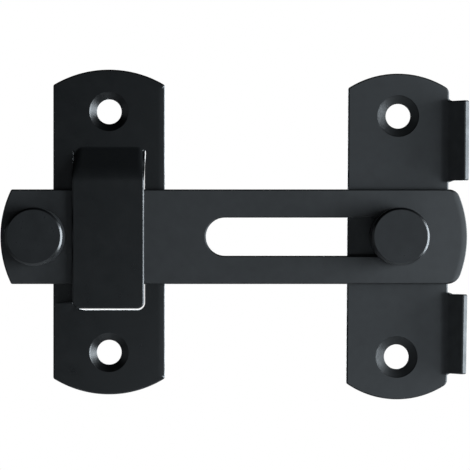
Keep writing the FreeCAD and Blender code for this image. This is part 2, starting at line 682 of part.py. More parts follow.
def headed_rivet(name, seat, back, shoulder):
    """Turned rivet with a tall round head, a shank and a peened tail that lies in a countersink.

    seat and back are how far the head's underside and the carrying sheet's back face stand from the
    mounting plane. The tail has the countersink's slope and ends a little below that face.
    shoulder is (diameter, end) of a thicker stretch below the head, or None. All are (expression, value).
    """
    body = new_body(name)
    sketch = sketch_on(body, "YZ_Plane", f"{name}_section")
    head, height = size("head_diameter") / 2, size("head_height")
    rounding, bevel = size("head_round"), size("head_chamfer")
    shank, peen, sink = size("shank_diameter") / 2, size("peen_diameter") / 2, size("peen_depth")
    recess = size("peen_recess")
    front = (f"-({seat[0]} + Sizes.head_height)", -(seat[1] + height))
    under = (f"-({seat[0]})", -seat[1])
    throat = (f"-({back[0]} + Sizes.peen_depth)", -(back[1] + sink))
    end = (f"-({back[0]} + Sizes.peen_recess)", -(back[1] + recess))
    rim = ("Sizes.peen_diameter / 2 - Sizes.peen_recess * (Sizes.peen_diameter - Sizes.shank_diameter)"
           " / (2 * Sizes.peen_depth)", peen - recess * (peen - shank) / sink)
    corners = [
        ("front_rim", front, ("Sizes.head_diameter / 2 - Sizes.head_round", head - rounding)),
        ("head_rim", (f"{front[0]} + Sizes.head_round", front[1] + rounding), ("Sizes.head_diameter / 2", head)),
        ("bevel_top", (f"{under[0]} - Sizes.head_chamfer", under[1] - bevel), ("Sizes.head_diameter / 2", head)),
        ("bevel_foot", under, ("Sizes.head_diameter / 2 - Sizes.head_chamfer", head - bevel)),
    ]
    if shoulder:
        diameter, stop = shoulder
        half = (f"({diameter[0]}) / 2", diameter[1] / 2)
        stop = (f"-({stop[0]})", -stop[1])
        corners += [("shoulder_top", under, half), ("shoulder_foot", stop, half)]
    else:
        stop = under
    thin = ("Sizes.shank_diameter / 2", shank)
    corners += [("shank_top", stop, thin), ("shank_foot", throat, thin)]
    corners += [("tail_rim", end, rim)]
    points = [(front[1], 0.0)] + [(corner[1][1], corner[2][1]) for corner in corners] + [(end[1], 0.0)]
    count = len(points)
    edges = []
    for number in range(count):
        start, stop_point = points[number], points[(number + 1) % count]
        if number == 1:
            centre = (front[1] + rounding, head - rounding)
            edges.append(arc(sketch, centre, rounding, 90, 180))
        else:
            edges.append(line(sketch, start, stop_point))
    for number in range(count):
        first, second = edges[number], edges[(number + 1) % count]
        leaving = 1 if number == 1 else 2
        entering = 2 if (number + 1) % count == 1 else 1
        join(sketch, (first, leaving, second, entering))
    for number, (label, across, along) in enumerate(corners, start=1):
        entering = 2 if number == 1 else 1
        place(sketch, label, edges[number], entering, across, along)
    fix(sketch, "round", "Sizes.head_round", "Radius", edges[1], rounding)
    place(sketch, "axis_front", edges[0], 1, front, None)
    sketch.addConstraint(Sketcher.Constraint("PointOnObject", edges[0], 1, -1))
    place(sketch, "axis_end", edges[-1], 1, end, None)
    sketch.addConstraint(Sketcher.Constraint("PointOnObject", edges[-1], 1, -1))
    turned = body.newObject("PartDesign::Revolution", f"{name}_turned")
    turned.Profile = sketch
    turned.ReferenceAxis = (sketch, ["H_Axis"])
    turned.Angle = FULL_TURN
    return body


def build_pivot_pin():
    """Headed pin that the bar turns and slides on, riveted into the pivot plate with running room."""
    gauge, gap = size("plate_gauge"), size("running_gap")
    seat = (f"{BAR_FRONT} + Sizes.axial_play", gauge + gap + size("bar_gauge") + size("axial_play"))
    shoulder = (("Sizes.slot_width - 2 * Sizes.slot_clearance", size("slot_width") - 2 * size("slot_clearance")),
                ("Sizes.plate_gauge + Sizes.peen_recess", gauge + size("peen_recess")))
    return headed_rivet("pivot_pin", seat, ("0", 0.0), shoulder)


def build_knob():
    """Knob that the bar is moved by, riveted tight into the bar's left end."""
    gauge, gap = size("plate_gauge"), size("running_gap")
    seat = (BAR_FRONT, gauge + gap + size("bar_gauge"))
    knob = headed_rivet("knob", seat, (BAR_BACK, gauge + gap), None)
    bind(knob, "Placement.Base.x", f"Sizes.knob_setback - {BAR_REACH}")
    return knob


nodes = [build_catch_plate(), build_pivot_plate(), build_slotted_bar(), build_pivot_pin(), build_knob()]
doc.recompute()

for item in doc.Objects:
    if "Invalid" in item.State or "Error" in item.State:
        raise RuntimeError(f"{item.Name} failed: {item.State}")

os.makedirs("parts", exist_ok=True)
for node in nodes:
    if node.Shape.isNull() or not node.Shape.isValid():
        raise RuntimeError(f"{node.Label} has no valid shape")
    print(node.Label, len(node.Shape.Solids), round(node.Shape.Volume, 2), node.Shape.optimalBoundingBox())
    node.Shape.exportStep(f"parts/{node.Label}.step")
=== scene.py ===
"""Flip latch in black coated sheet steel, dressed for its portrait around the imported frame.

The catch plate with its lanced hook, the pivot plate with its bent ears, the slotted bar, the pivot
pin and the knob are each rebuilt as one smooth surface with rolled edges, where its CAD node stands.
Lengths are in millimetres until a mesh is written, and then in metres.
"""

from __future__ import annotations

import json
import logging
import math
from dataclasses import dataclass, field
from enum import Enum
from typing import Any, Callable, Protocol, Sequence

import bpy
import numpy as np
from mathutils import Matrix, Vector
from mathutils.geometry import delaunay_2d_cdt

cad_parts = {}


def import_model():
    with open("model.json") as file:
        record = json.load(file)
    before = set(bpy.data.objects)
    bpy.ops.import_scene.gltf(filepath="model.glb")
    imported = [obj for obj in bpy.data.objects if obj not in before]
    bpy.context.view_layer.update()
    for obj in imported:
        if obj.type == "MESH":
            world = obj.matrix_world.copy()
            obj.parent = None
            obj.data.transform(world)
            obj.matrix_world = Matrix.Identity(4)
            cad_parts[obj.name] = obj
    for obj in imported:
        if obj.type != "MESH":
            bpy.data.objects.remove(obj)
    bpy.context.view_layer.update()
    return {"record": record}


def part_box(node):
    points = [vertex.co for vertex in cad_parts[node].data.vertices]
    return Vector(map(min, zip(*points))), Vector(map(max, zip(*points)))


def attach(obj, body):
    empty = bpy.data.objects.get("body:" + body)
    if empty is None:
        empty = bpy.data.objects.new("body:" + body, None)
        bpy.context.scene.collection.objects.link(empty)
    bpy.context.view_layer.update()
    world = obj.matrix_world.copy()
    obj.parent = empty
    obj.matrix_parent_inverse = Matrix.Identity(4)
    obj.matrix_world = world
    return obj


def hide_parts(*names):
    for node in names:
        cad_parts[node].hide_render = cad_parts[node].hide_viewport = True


log = logging.getLogger("flip_latch")

Array = np.ndarray
Pair = tuple[float, float]
Triple = tuple[float, float, float]
EdgeForm = Callable[[float], "Section"]

MM = 0.001
FULL_TURN = 2.0 * math.pi
# Radius of an arc that stands for a single point of an outline.
POINT = 0.001
# Usual width that a front edge is rolled over with, and that of the shallow roll along a free edge.
ROLL, WIDE_ROLL = 0.3, 1.2
WHITE = (1.0, 1.0, 1.0, 1.0)
BLACK = (0.0, 0.0, 0.0, 1.0)
# Mesh attribute that tells a coat how much of an edge a point is, where the coat paints shade.
EDGE_MARK = "edge"


class Slot(Enum):
    """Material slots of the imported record."""

    PLATE = "plate_black"
    BAR = "bar_black"
    RIVET = "rivet_black"


def unit(vectors: Array) -> Array:
    """Scale each row to length one.

    Args:
        vectors: Rows of any dimension.

    Returns:
        The rows divided by their lengths.
    """
    shortest = 1e-12
    return vectors / np.maximum(np.linalg.norm(vectors, axis=-1, keepdims=True), shortest)


@dataclass(frozen=True)
class Section:
    """Cross-section of an edge or of a turned piece: points, and the way the surface faces at each."""

    points: Array
    facing: Array


def rolled_section(corners: Sequence[Triple], steps: int = 7) -> Section:
    """Polyline whose corners are rolled over with tangent arcs.

    The surface faces to the left of the way the line runs. At a corner with radius r and turn a, the
    arc starts r * tan(a / 2) before the corner, and its points are its middle plus or minus r times a
    direction that turns evenly from one side's facing to the next one's.

    Args:
        corners: (first, second, radius) of each corner; the radius of the two ends isn't used.
        steps: Spans in each arc.

    Returns:
        The section with its ends and arcs.
    """
    place = np.array([corner[:2] for corner in corners])
    along = unit(np.diff(place, axis=0))
    points, facing = [place[:1]], [left_of(along[:1])]
    for index, (_, _, radius) in enumerate(corners[1:-1], start=1):
        before, after = along[index - 1], along[index]
        turn = math.atan2(before[0] * after[1] - before[1] * after[0], float(before @ after))
        side = -math.copysign(1.0, turn)
        start = math.atan2(before[0], -before[1])
        angles = start + turn * np.linspace(0.0, 1.0, steps + 1)
        out = np.stack([np.cos(angles), np.sin(angles)], axis=-1)
        middle = place[index] - before * radius * math.tan(abs(turn) / 2) - side * radius * out[0]
        points.append(middle + side * radius * out)
        facing.append(out)
    return Section(np.vstack(points + [place[-1:]]), np.vstack(facing + [left_of(along[-1:])]))


def left_of(directions: Array) -> Array:
    """Turn plane directions a quarter turn to the left."""
    return np.stack([-directions[:, 1], directions[:, 0]], axis=-1)


@dataclass(frozen=True)
class Arc:
    """Round stretch of an outline, in degrees. One with a negative radius has the metal outside it.

    The roll holds the widths that the sheet's front edge is rolled over with, from the arc's start to
    its stop.
    """

    middle: Pair
    radius: float
    start: float
    stop: float
    count: int = 9
    roll: tuple[float, ...] = (ROLL, ROLL)

    @staticmethod
    def sharp(middle: Pair, facing: float, roll: float, sign: float = 1.0) -> Arc:
        """Single point of an outline, which leads off the metal in one direction."""
        return Arc(middle, sign * POINT, facing, facing, 1, (roll,))


def corner_on_arc(end_radius: float, radius: float, across: float) -> Pair:
    """Place of a corner arc that touches an end arc from inside.

    The two middles are as far apart as the radii differ, and the way across is one side of a
    right-angled triangle on that distance.

    Args:
        end_radius: Radius of the end's arc.
        radius: Radius of the corner.
        across: How far the corner's middle lies beside the end arc's middle.

    Returns:
        How far it lies ahead of that middle, and the lean of the line between the two, in degrees.
    """
    apart = end_radius - radius
    return math.sqrt(apart ** 2 - across ** 2), math.degrees(math.asin(abs(across) / apart))


def plan_grid(across: Array, along: Array) -> Array:
    """Rows of plan points, one for each pair of two lists of places."""
    return np.stack(np.meshgrid(across, along), axis=-1).reshape(-1, 2)


@dataclass(frozen=True)
class Outline:
    """Closed edge of a sheet in its plan, with the direction that leads off the metal at each point and
    the front edge's roll there."""

    points: Array
    away: Array
    roll: Array

    @staticmethod
    def of_arcs(*arcs: Arc, longest: float = 3.0) -> Outline:
        """Outline that runs through arcs and straight between them.

        Args:
            arcs: The arcs in order.
            longest: Longest span between two points.

        Returns:
            The outline, with its straight runs divided evenly.
        """
        points, away, roll = [], [], []
        for arc in arcs:
            angles = np.radians(np.linspace(arc.start, arc.stop, arc.count))
            out = np.stack([np.cos(angles), np.sin(angles)], axis=-1)
            points.append(np.array(arc.middle) + abs(arc.radius) * out)
            away.append(out * math.copysign(1.0, arc.radius))
            share = np.linspace(0.0, 1.0, arc.count)
            roll.append(np.interp(share, np.linspace(0.0, 1.0, len(arc.roll)), arc.roll))
        return Outline(np.vstack(points), np.vstack(away), np.concatenate(roll)).divided(longest)

    @staticmethod
    def round_hole(middle: Pair, radius: float, count: int = 96) -> Outline:
        """Circular hole's edge."""
        return Outline.of_arcs(Arc(middle, -radius, 0.0, 360.0 - 360.0 / count, count))

    def divided(self, longest: float) -> Outline:
        """Add evenly spaced points on every span that is longer than a limit.

        The rolls between are even too, and rounded, so that equal ones share one section.

        Args:
            longest: Longest span that stays whole.

        Returns:
            An outline through the same points and the added ones.
        """
        table = np.column_stack([self.points, self.away, self.roll])
        table = np.vstack([table, table[:1]])
        span = np.linalg.norm(np.diff(table[:, :2], axis=0), axis=1)
        shortest, roll_digits = 1e-6, 3
        kept = np.append(span > shortest, True)
        table, span = table[kept], span[kept[:-1]]
        run = np.append(0.0, np.cumsum(span))
        parts = np.maximum(np.ceil(span / longest).astype(int), 1)
        which = np.repeat(np.arange(len(span)), parts)
        within = np.arange(len(which)) - (np.cumsum(parts) - parts)[which]
        station = run[which] + span[which] * within / parts[which]
        columns = [np.interp(station, run, column) for column in table.T]
        return Outline(np.stack(columns[:2], axis=-1), unit(np.stack(columns[2:4], axis=-1)),
                       np.round(columns[4], roll_digits))

    def inset(self, distance: Array) -> Array:
        """Points a distance into the metal, for (rows, columns) distances."""
        return self.points[None] - self.away[None] * distance[..., None]


class Fold(Protocol):
    """Shape that a flat blank is pressed into."""

    def at(self, plan: Array) -> tuple[Array, Array]:
        """Front face of the sheet over plan points, as its points and outward normals."""

    def seeds(self) -> Array:
        """Plan points that the curved stretches need inside the outline."""


@dataclass(frozen=True)
class FlatFold:
    """A sheet that stays flat."""

    front: float

    def at(self, plan: Array) -> tuple[Array, Array]:
        """Front face: each plan point at one depth.

        Args:
            plan: Points of the blank, with two numbers each.

        Returns:
            Points and normals, with three numbers each.
        """
        points = np.stack([plan[..., 0], np.full(plan.shape[:-1], self.front), plan[..., 1]], axis=-1)
        normals = np.zeros_like(points)
        normals[..., 1] = -1.0
        return points, normals

    def seeds(self) -> Array:
        """A flat sheet needs none."""
        return np.zeros((0, 2))


@dataclass
class Draft:
    """Vertices, normals, faces and an edge mark that grow piece by piece and end as one mesh."""

    points: list[Array] = field(default_factory=list)
    normals: list[Array] = field(default_factory=list)
    marks: list[Array] = field(default_factory=list)
    faces: list[Array] = field(default_factory=list)
    count: int = 0

    def add_points(self, points: Array, normals: Array, marks: Array) -> int:
        """Add vertices.

        Args:
            points: Places, in millimetres.
            normals: Outward directions.
            marks: How much of an edge each is, from 0 to 1.

        Returns:
            The number of the first one.
        """
        first = self.count
        self.points.append(points.reshape(-1, 3))
        self.normals.append(normals.reshape(-1, 3))
        self.marks.append(marks.reshape(-1))
        self.count += len(self.points[-1])
        return first

    def add_faces(self, faces: Array) -> None:
        """Add faces, each turned so that it faces the way its vertices' normals do.

        Args:
            faces: Rows of three or four vertex numbers.
        """
        points, normals = np.vstack(self.points), np.vstack(self.normals)
        corner = points[faces]
        across = np.cross(corner[:, 1] - corner[:, 0], corner[:, 2] - corner[:, 0])
        if faces.shape[1] == 4:
            across = across + np.cross(corner[:, 2] - corner[:, 0], corner[:, 3] - corner[:, 0])
        inward = np.einsum("ij,ij->i", across, normals[faces].sum(axis=1)) < 0
        faces = faces.copy()
        faces[inward] = faces[inward][:, ::-1]
        self.faces.append(faces)

    def add_grid(self, points: Array, normals: Array, marks: Array) -> Array:
        """Add a grid that closes on itself along its second axis.

        Args:
            points: (rows, columns, 3) places.
            normals: Outward directions in the same layout.
            marks: Edge marks in the same layout.

        Returns:
            The vertices' numbers, as (rows, columns).
        """
        rows, columns = points.shape[:2]
        first = self.add_points(points, normals, marks)
        number = first + np.arange(rows * columns).reshape(rows, columns)
        beside = np.roll(number, -1, axis=1)
        faces = np.stack([number[:-1], beside[:-1], beside[1:], number[1:]], axis=-1)
        self.add_faces(faces.reshape(-1, 4))
        return number

    def write(self, name: str) -> bpy.types.Object:
        """Make the mesh object, in metres.

        Args:
            name: Name of the piece.

        Returns:
            The linked object.
        """
        mesh = bpy.data.meshes.new(name)
        faces = [face for group in self.faces for face in group.tolist()]
        mesh.from_pydata((np.vstack(self.points) * MM).tolist(), [], faces)
        mark = mesh.attributes.new(EDGE_MARK, "FLOAT", "POINT")
        mark.data.foreach_set("value", np.concatenate(self.marks).astype(np.float32))
        mesh.shade_smooth()
        mesh.normals_split_custom_set_from_vertices(np.vstack(self.normals).tolist())
        mesh.validate(clean_customdata=False)
        piece = bpy.data.objects.new(name, mesh)
        bpy.context.scene.collection.objects.link(piece)
        return piece


def edge_mark(tilt: Array) -> Array:
    """How much of an edge each point is: twice the product of the facing's parts, so 1 at 45 degrees. The
    coat paints shade by it.
    """
    return np.abs(tilt[..., 0] * tilt[..., 1]) * 2.0


def on_metal(points: Array, spans: Array) -> Array:
    """Even-odd test of plan points against closed edges.

    Args:
        points: (n, 2) points.
        spans: (m, 2, 2) start and end of every span of the edges.

    Returns:
        True for each point whose ray along the first axis crosses an odd number of spans.
    """
    (x0, z0), (x1, z1) = spans[:, 0].T, spans[:, 1].T
    x, z = points[:, :1], points[:, 1:]
    level = (z0 > z) != (z1 > z)
    drop = np.where(z1 == z0, 1.0, z1 - z0)
    crossing = x0 + (z - z0) / drop * (x1 - x0)
    return np.sum(level & (crossing > x), axis=1) % 2 == 1


@dataclass
class SheetMetal:
    """Blanked and pressed sheet: every edge is a section carried along an outline, and both faces are
    filled between the edges. Seeds nearer to an edge than the seed room are left out."""

    fold: Fold
    gauge: float
    seed_room: float = 0.12

    def build(self, name: str, edges: Sequence[tuple[Outline, EdgeForm]]) -> bpy.types.Object:
        """Build the sheet.

        Args:
            name: Name of the piece.
            edges: Each outline with the form of the metal's edge there, which gives a section for a
                roll. A section's first number is the distance into the metal, and its second is the
                depth below the front face.

        Returns:
            The finished object.
        """
        draft = Draft()
        front_rims, back_rims = [], []
        for outline, form in edges:
            rolls, which = np.unique(outline.roll, return_inverse=True)
            sections = [form(roll) for roll in rolls]
            offset = np.stack([section.points for section in sections], axis=1)[:, which]
            tilt = np.stack([section.facing for section in sections], axis=1)[:, which]
            points, normals = self.edge_surface(outline, offset, tilt)
            number = draft.add_grid(points, normals, edge_mark(tilt))
            rims = outline.inset(offset[[0, -1], :, 0])
            front_rims.append((number[0], rims[0]))
            back_rims.append((number[-1], rims[1]))
        for rims, depth in ((front_rims, 0.0), (back_rims, self.gauge)):
            self.fill(draft, rims, depth)
        return draft.write(name)

    def edge_surface(self, outline: Outline, offset: Array, tilt: Array) -> tuple[Array, Array]:
        """Sections carried along an outline.

        A point stands over the plan point that lies its first offset inside the outline, its second
        offset behind the front face along that face's normal.

        Args:
            outline: Path of the edge.
            offset: (rows, columns, 2) points of the section at each point of the outline.
            tilt: The way the surface faces there, in the same layout.

        Returns:
            (rows, columns, 3) points and normals.
        """
        plan = outline.inset(offset[..., 0])
        front, facing = self.fold.at(plan)
        step = 1e-3
        beyond, _ = self.fold.at(plan + outline.away[None] * step)
        off = beyond - front
        off = unit(off - facing * np.sum(off * facing, axis=-1, keepdims=True))
        points = front - facing * offset[..., 1:]
        return points, unit(-off * tilt[..., :1] - facing * tilt[..., 1:])

    def fill(self, draft: Draft, rims: Sequence[tuple[Array, Array]], depth: float) -> None:
        """Fill one face of the sheet between its rims with triangles.

        Args:
            draft: Draft that holds the rims' vertices.
            rims: Vertex numbers and plan points of each rim.
            depth: 0 for the front face, the gauge for the back.
        """
        rim_plan = np.vstack([plan for _, plan in rims])
        seeds = self.fold.seeds()
        if len(seeds):
            near = np.linalg.norm(seeds[:, None] - rim_plan[None], axis=-1).min(axis=1)
            seeds = seeds[near > self.seed_room]
        plan = np.vstack([rim_plan, seeds])
        loops, first = [], 0
        for numbers, _ in rims:
            ring = first + np.arange(len(numbers))
            loops.append(np.stack([ring, np.roll(ring, -1)], axis=-1))
            first += len(numbers)
        corners = [Vector(point) for point in plan.tolist()]
        spans = np.vstack(loops)
        enclosed, nearness = 1, 1e-7
        _, _, made, sources, _, _ = delaunay_2d_cdt(corners, spans.tolist(), [], enclosed, nearness, True)
        triangles = np.array([source[0] for source in sources])[np.array(made)]
        triangles = triangles[on_metal(plan[triangles].mean(axis=1), plan[spans])]
        front, facing = self.fold.at(seeds)
        side = 1.0 if depth == 0.0 else -1.0
        start = draft.add_points(front - facing * depth, facing * side, np.zeros(len(seeds)))
        number = np.concatenate([*(numbers for numbers, _ in rims), start + np.arange(len(seeds))])
        draft.add_faces(number[triangles])


def turned_piece(name: str, section: Section, axis: Pair, count: int = 160) -> bpy.types.Object:
    """Surface of revolution about a line along Y.

    A point of the section (radius, y) is carried round the axis: x and z are the axis's place plus the
    radius times the cosine and the sine of the turn.

    Args:
        name: Name of the piece.
        section: Half section, which starts and ends on the axis.
        axis: x and z of the axis.
        count: Points in a full turn.

    Returns:
        The finished object, with its two poles closed.
    """
    angles = FULL_TURN * np.arange(count) / count
    spokes = np.stack([np.cos(angles), np.zeros(count), np.sin(angles)], axis=-1)
    away = np.array([0.0, 1.0, 0.0])
    middle = np.array([axis[0], 0.0, axis[1]])
    inner = section.points[1:-1]
    tilt = section.facing[1:-1]
    points = middle + spokes[None] * inner[:, :1, None] + away * inner[:, 1:, None]
    normals = unit(spokes[None] * tilt[:, :1, None] + away * tilt[:, 1:, None])
    draft = Draft()
    number = draft.add_grid(points, normals, np.repeat(edge_mark(tilt)[:, None], count, axis=1))
    for row, end in ((number[0], 0), (number[-1], -1)):
        pole = middle + away * section.points[end, 1]
        facing = away * math.copysign(1.0, section.facing[end, 1])
        tip = draft.add_points(pole, facing, np.zeros(1))
        draft.add_faces(np.stack([row, np.roll(row, -1), np.full(count, tip)], axis=-1))
    return draft.write(name)


class Value:
    """Socket of a material that takes part in arithmetic: each operator adds a Math node."""

    def __init__(self, shader: Shader, socket: bpy.types.NodeSocket | None) -> None:
        """Wrap an output socket, or nothing for a node that has none."""
        self.shader = shader
        self.socket = socket

    def math(self, operation: str, *operands: Value | float) -> Value:
        """Add a Math node with this socket first."""
        inputs = dict(enumerate((self, *operands)))
        return self.shader.node("ShaderNodeMath", {"operation": operation}, inputs)

    def __add__(self, other: Value | float) -> Value:
        """Sum."""
        return self.math("ADD", other)

    __radd__ = __add__

    def __mul__(self, other: Value | float) -> Value:
        """Product."""
        return self.math("MULTIPLY", other)

    __rmul__ = __mul__

    def __sub__(self, other: Value | float) -> Value:
        """Difference."""
        return self.math("SUBTRACT", other)

    def __rsub__(self, other: float) -> Value:
        """Difference from a number."""
        return self.math("MULTIPLY", -1.0) + other

    def __pow__(self, other: float) -> Value:
        """Power."""
        return self.math("POWER", other)


class Shader:
    """Node tree under construction."""

    def __init__(self, tree: bpy.types.NodeTree) -> None:
        """Start from an empty tree."""
        self.tree = tree
        tree.nodes.clear()

    def node(self, kind: str, settings: dict[str, Any], inputs: dict[int | str, Any],
             output: int | str = 0) -> Value:
        """Add a node.

        Args:
            kind: Type of the node.
            settings: Properties to set before its sockets are touched.
            inputs: Values, Value objects or colours by socket number or name.
            output: Socket to return.

        Returns:
            The chosen output, ready for arithmetic.
        """
        made = self.tree.nodes.new(kind)
        for name, setting in settings.items():
            setattr(made, name, setting)
        for key, given in inputs.items():
            if isinstance(given, Value):
                self.tree.links.new(given.socket, made.inputs[key])
            else:
                made.inputs[key].default_value = given
        return Value(self, made.outputs[output] if made.outputs else None)

    def seen_and_lit(self, seen: Value, lit: Value) -> Value:
        """Shader that is one thing to the camera and another to the rays that light the latch."""
        camera = self.node("ShaderNodeLightPath", {}, {}, "Is Camera Ray")
        return self.node("ShaderNodeMixShader", {}, {0: camera, 1: lit, 2: seen})


@dataclass(frozen=True)
class BlackCoat:
    """Black powder coat: a dark, faintly cool film with a fine grain and slow blotches, with painted shade on
    edges.

    The grain moves the surface and, a little, the gloss. The blotches move the colour by the mottle
    and the gloss by the unevenness. The edge shade colour is painted shade that darkens rims, rolled
    edges and the countersinks' flanks.
    """

    colour: Triple
    roughness: float
    # Near-black colour painted on edges and countersink flanks as shade.
    thin: Triple = (0.0012, 0.0013, 0.0014)
    specular: float = 0.5
    grain_size: float = 0.35
    grain_detail: float = 2.0
    grain_depth: float = 0.004
    grain_strength: float = 0.6
    grain_gloss: float = 0.08
    blotch_size: float = 2.6
    blotch_detail: float = 1.5
    octave_share: float = 0.55
    mottle: float = 0.5
    unevenness: float = 0.24
    wear: float = 0.9
    wear_narrowness: float = 2.0

    def material(self, name: str) -> bpy.types.Material:
        """Make the material.

        Args:
            name: Name of the material.

        Returns:
            The material, driven by Object coordinates and the piece's edge attribute.
        """
        made = bpy.data.materials.new(name)
        made.use_nodes = True
        shader = Shader(made.node_tree)
        place = shader.node("ShaderNodeTexCoord", {}, {}, "Object")
        grain = self.noise(shader, place, self.grain_size, self.grain_detail)
        slow = self.noise(shader, place, self.blotch_size, self.blotch_detail)
        edge = shader.node("ShaderNodeAttribute", {"attribute_name": EDGE_MARK}, {}, "Fac")
        # Painted shade: the colour is darkened towards the edge shade colour where a point is much of an
        # edge, on rims, rolled edges and countersink flanks.
        painted_edge_shade = edge ** self.wear_narrowness * self.wear
        colour = shader.node(
            "ShaderNodeMix", {"data_type": "RGBA"},
            {"Factor": painted_edge_shade, "A": (*self.colour, 1.0), "B": (*self.thin, 1.0)}, "Result")
        tinted = shader.node(
            "ShaderNodeMix", {"data_type": "RGBA", "blend_type": "MULTIPLY"},
            {"Factor": slow * self.mottle, "A": colour, "B": BLACK}, "Result")
        half = 0.5
        roughness = self.roughness + (slow - half) * self.unevenness + (grain - half) * self.grain_gloss
        bump = shader.node(
            "ShaderNodeBump", {},
            {"Strength": self.grain_strength, "Distance": self.grain_depth * MM, "Height": grain}, "Normal")
        surface = shader.node(
            "ShaderNodeBsdfPrincipled", {},
            {"Base Color": tinted, "Roughness": roughness, "Specular IOR Level": self.specular,
             "Normal": bump}, "BSDF")
        shader.node("ShaderNodeOutputMaterial", {}, {"Surface": surface})
        return made

    def noise(self, shader: Shader, place: Value, size: float, detail: float) -> Value:
        """Noise whose blotches are about size millimetres wide."""
        inputs = {"Vector": place, "Scale": 1.0 / (size * MM), "Detail": detail,
                  "Roughness": self.octave_share}
        return shader.node("ShaderNodeTexNoise", {}, inputs, "Fac")


@dataclass(frozen=True)
class SheetEdge:
    """How the edges of a blanked sheet are rolled.

    A sheared edge is broken over a share of its roll, with the slope that the table of slopes gives for
    that roll. The leads are the shares of the break that its front arc starts ahead of it, on the
    gentlest and on the steepest slope. The margin is flat metal that an edge carries beyond its arcs.
    """

    gauge: float
    back_roll: float = 0.06
    margin: float = 0.04
    broken: float = 0.8
    rolls: tuple[float, ...] = (0.45, 0.65, 0.70, 1.2)
    slopes: tuple[float, ...] = (1.0, 0.8, 0.3, 0.13)
    leads: Pair = (0.4, 0.25)
    corner_share: float = 0.6
    widest_corner: float = 0.22
    lip: float = 0.2
    lip_slope: float = 0.84

    def plain(self, roll: float) -> Section:
        """Sheared edge: broken and rolled over where the punch went in, crisp behind.

        The wider the roll, the gentler its slope: a narrow one is a bevel, and a wide one is the shallow
        roll that blanking leaves along a free edge.

        Args:
            roll: Width that the front edge is rolled over with.

        Returns:
            The section, from the front face round to the back.
        """
        broken = self.broken * roll
        slope = float(np.interp(roll, self.rolls, self.slopes))
        lead = broken * float(np.interp(slope, (self.slopes[-1], self.slopes[0]), self.leads))
        return rolled_section([
            (max(roll, broken + lead) + self.margin, 0.0, 0.0),
            (broken, 0.0, lead / math.tan(math.atan(slope) / 2)),
            (0.0, broken * slope, min(self.corner_share * broken, self.widest_corner)),
            (0.0, self.gauge, self.back_roll),
            (self.back_roll + self.margin, self.gauge, 0.0),
        ])

    def sunk(self, width: float, depth: float, rim: float = 0.06) -> EdgeForm:
        """Countersunk hole: a flared mouth with a steeper lip, over a short bore.

        Args:
            width: How much wider the mouth is than the bore, on each side.
            depth: Depth of the mouth.
            rim: Roll at the mouth and under the lip.

        Returns:
            The form of the hole's edge.
        """
        section = rolled_section([
            (width + rim + self.margin, 0.0, 0.0),
            (width, 0.0, rim),
            (width - self.lip, self.lip * self.lip_slope, rim),
            (0.0, depth, self.back_roll),
            (0.0, self.gauge, self.back_roll / 2),
            (self.back_roll + self.margin, self.gauge, 0.0),
        ])
        return lambda roll: section

    def flared_behind(self, width: float, depth: float, rim: float = 0.1) -> EdgeForm:
        """Hole that widens to its back, for a tail that is spread in it.

        Args:
            width: How much wider the hole is at the back than in front, on each side.
            depth: Depth of the wide part.
            rim: Roll of the front edge.

        Returns:
            The form of the hole's edge.
        """
        section = rolled_section([
            (rim + self.margin, 0.0, 0.0),
            (0.0, 0.0, rim),
            (0.0, self.gauge - depth, self.back_roll),
            (width, self.gauge, self.back_roll),
            (width + self.back_roll + self.margin, self.gauge, 0.0),
        ])
        return lambda roll: section


def strip_arcs(length: float, width: float, end_radii: Pair, corners: tuple[Pair, Pair], upended: bool,
               middle: Pair, ends: Pair = (ROLL, ROLL), sides: Pair = (ROLL, ROLL),
               end_points: int = 61, side_station: float = 0.44) -> list[Arc]:
    """Arcs of a strip with a shallow arc at each end and rounded corners.

    Args:
        length: Overall length.
        width: Overall width.
        end_radii: Radii of the arcs at the strip's low and high end.
        corners: Corner radii on the low and high side across the strip, at its low end and at its high end.
        upended: True where the strip runs along the plan's second axis.
        middle: Middle of the strip.
        ends: Roll of the front edge along the low and the high end's arc.
        sides: Roll of the front edge along the low and the high side.
        end_points: Points on each end's arc.
        side_station: Share of the length that the sides' roll reaches to either way from the middle.

    Returns:
        Arcs and points of the straight sides, anticlockwise.
    """
    half = width / 2
    turn = 90.0 if upended else 0.0

    def at(along: float, across: float) -> Pair:
        """Plan point of a place on the strip."""
        first, second = (-across, along) if upended else (along, across)
        return middle[0] + first, middle[1] + second

    arcs = []
    for sign, start, end_radius, (low_side, high_side), end_roll, side_roll in (
            (1.0, 0.0, end_radii[1], corners[1], ends[1], sides[1]),
            (-1.0, 180.0, end_radii[0], corners[0][::-1], ends[0], sides[0])):
        centre = length / 2 - end_radius
        spans = []
        for side, radius in ((-sign, low_side), (sign, high_side)):
            across = side * (half - radius)
            ahead, lean = corner_on_arc(end_radius, radius, across)
            spans.append((at(sign * (centre + ahead), across), radius, lean))
        (low, low_radius, low_lean), (high, high_radius, high_lean) = spans
        base = turn + start
        arcs.append(Arc(low, low_radius, base - 90.0, base - low_lean, roll=(ROLL, end_roll)))
        arcs.append(Arc(at(sign * centre, 0.0), end_radius, base - low_lean, base + high_lean, end_points,
                        (end_roll, end_roll)))
        arcs.append(Arc(high, high_radius, base + high_lean, base + 90.0, roll=(end_roll, ROLL)))
        for along in (length * side_station, -length * side_station):
            arcs.append(Arc.sharp(at(sign * along, sign * (half - POINT)), base + 90.0, side_roll))
    return arcs


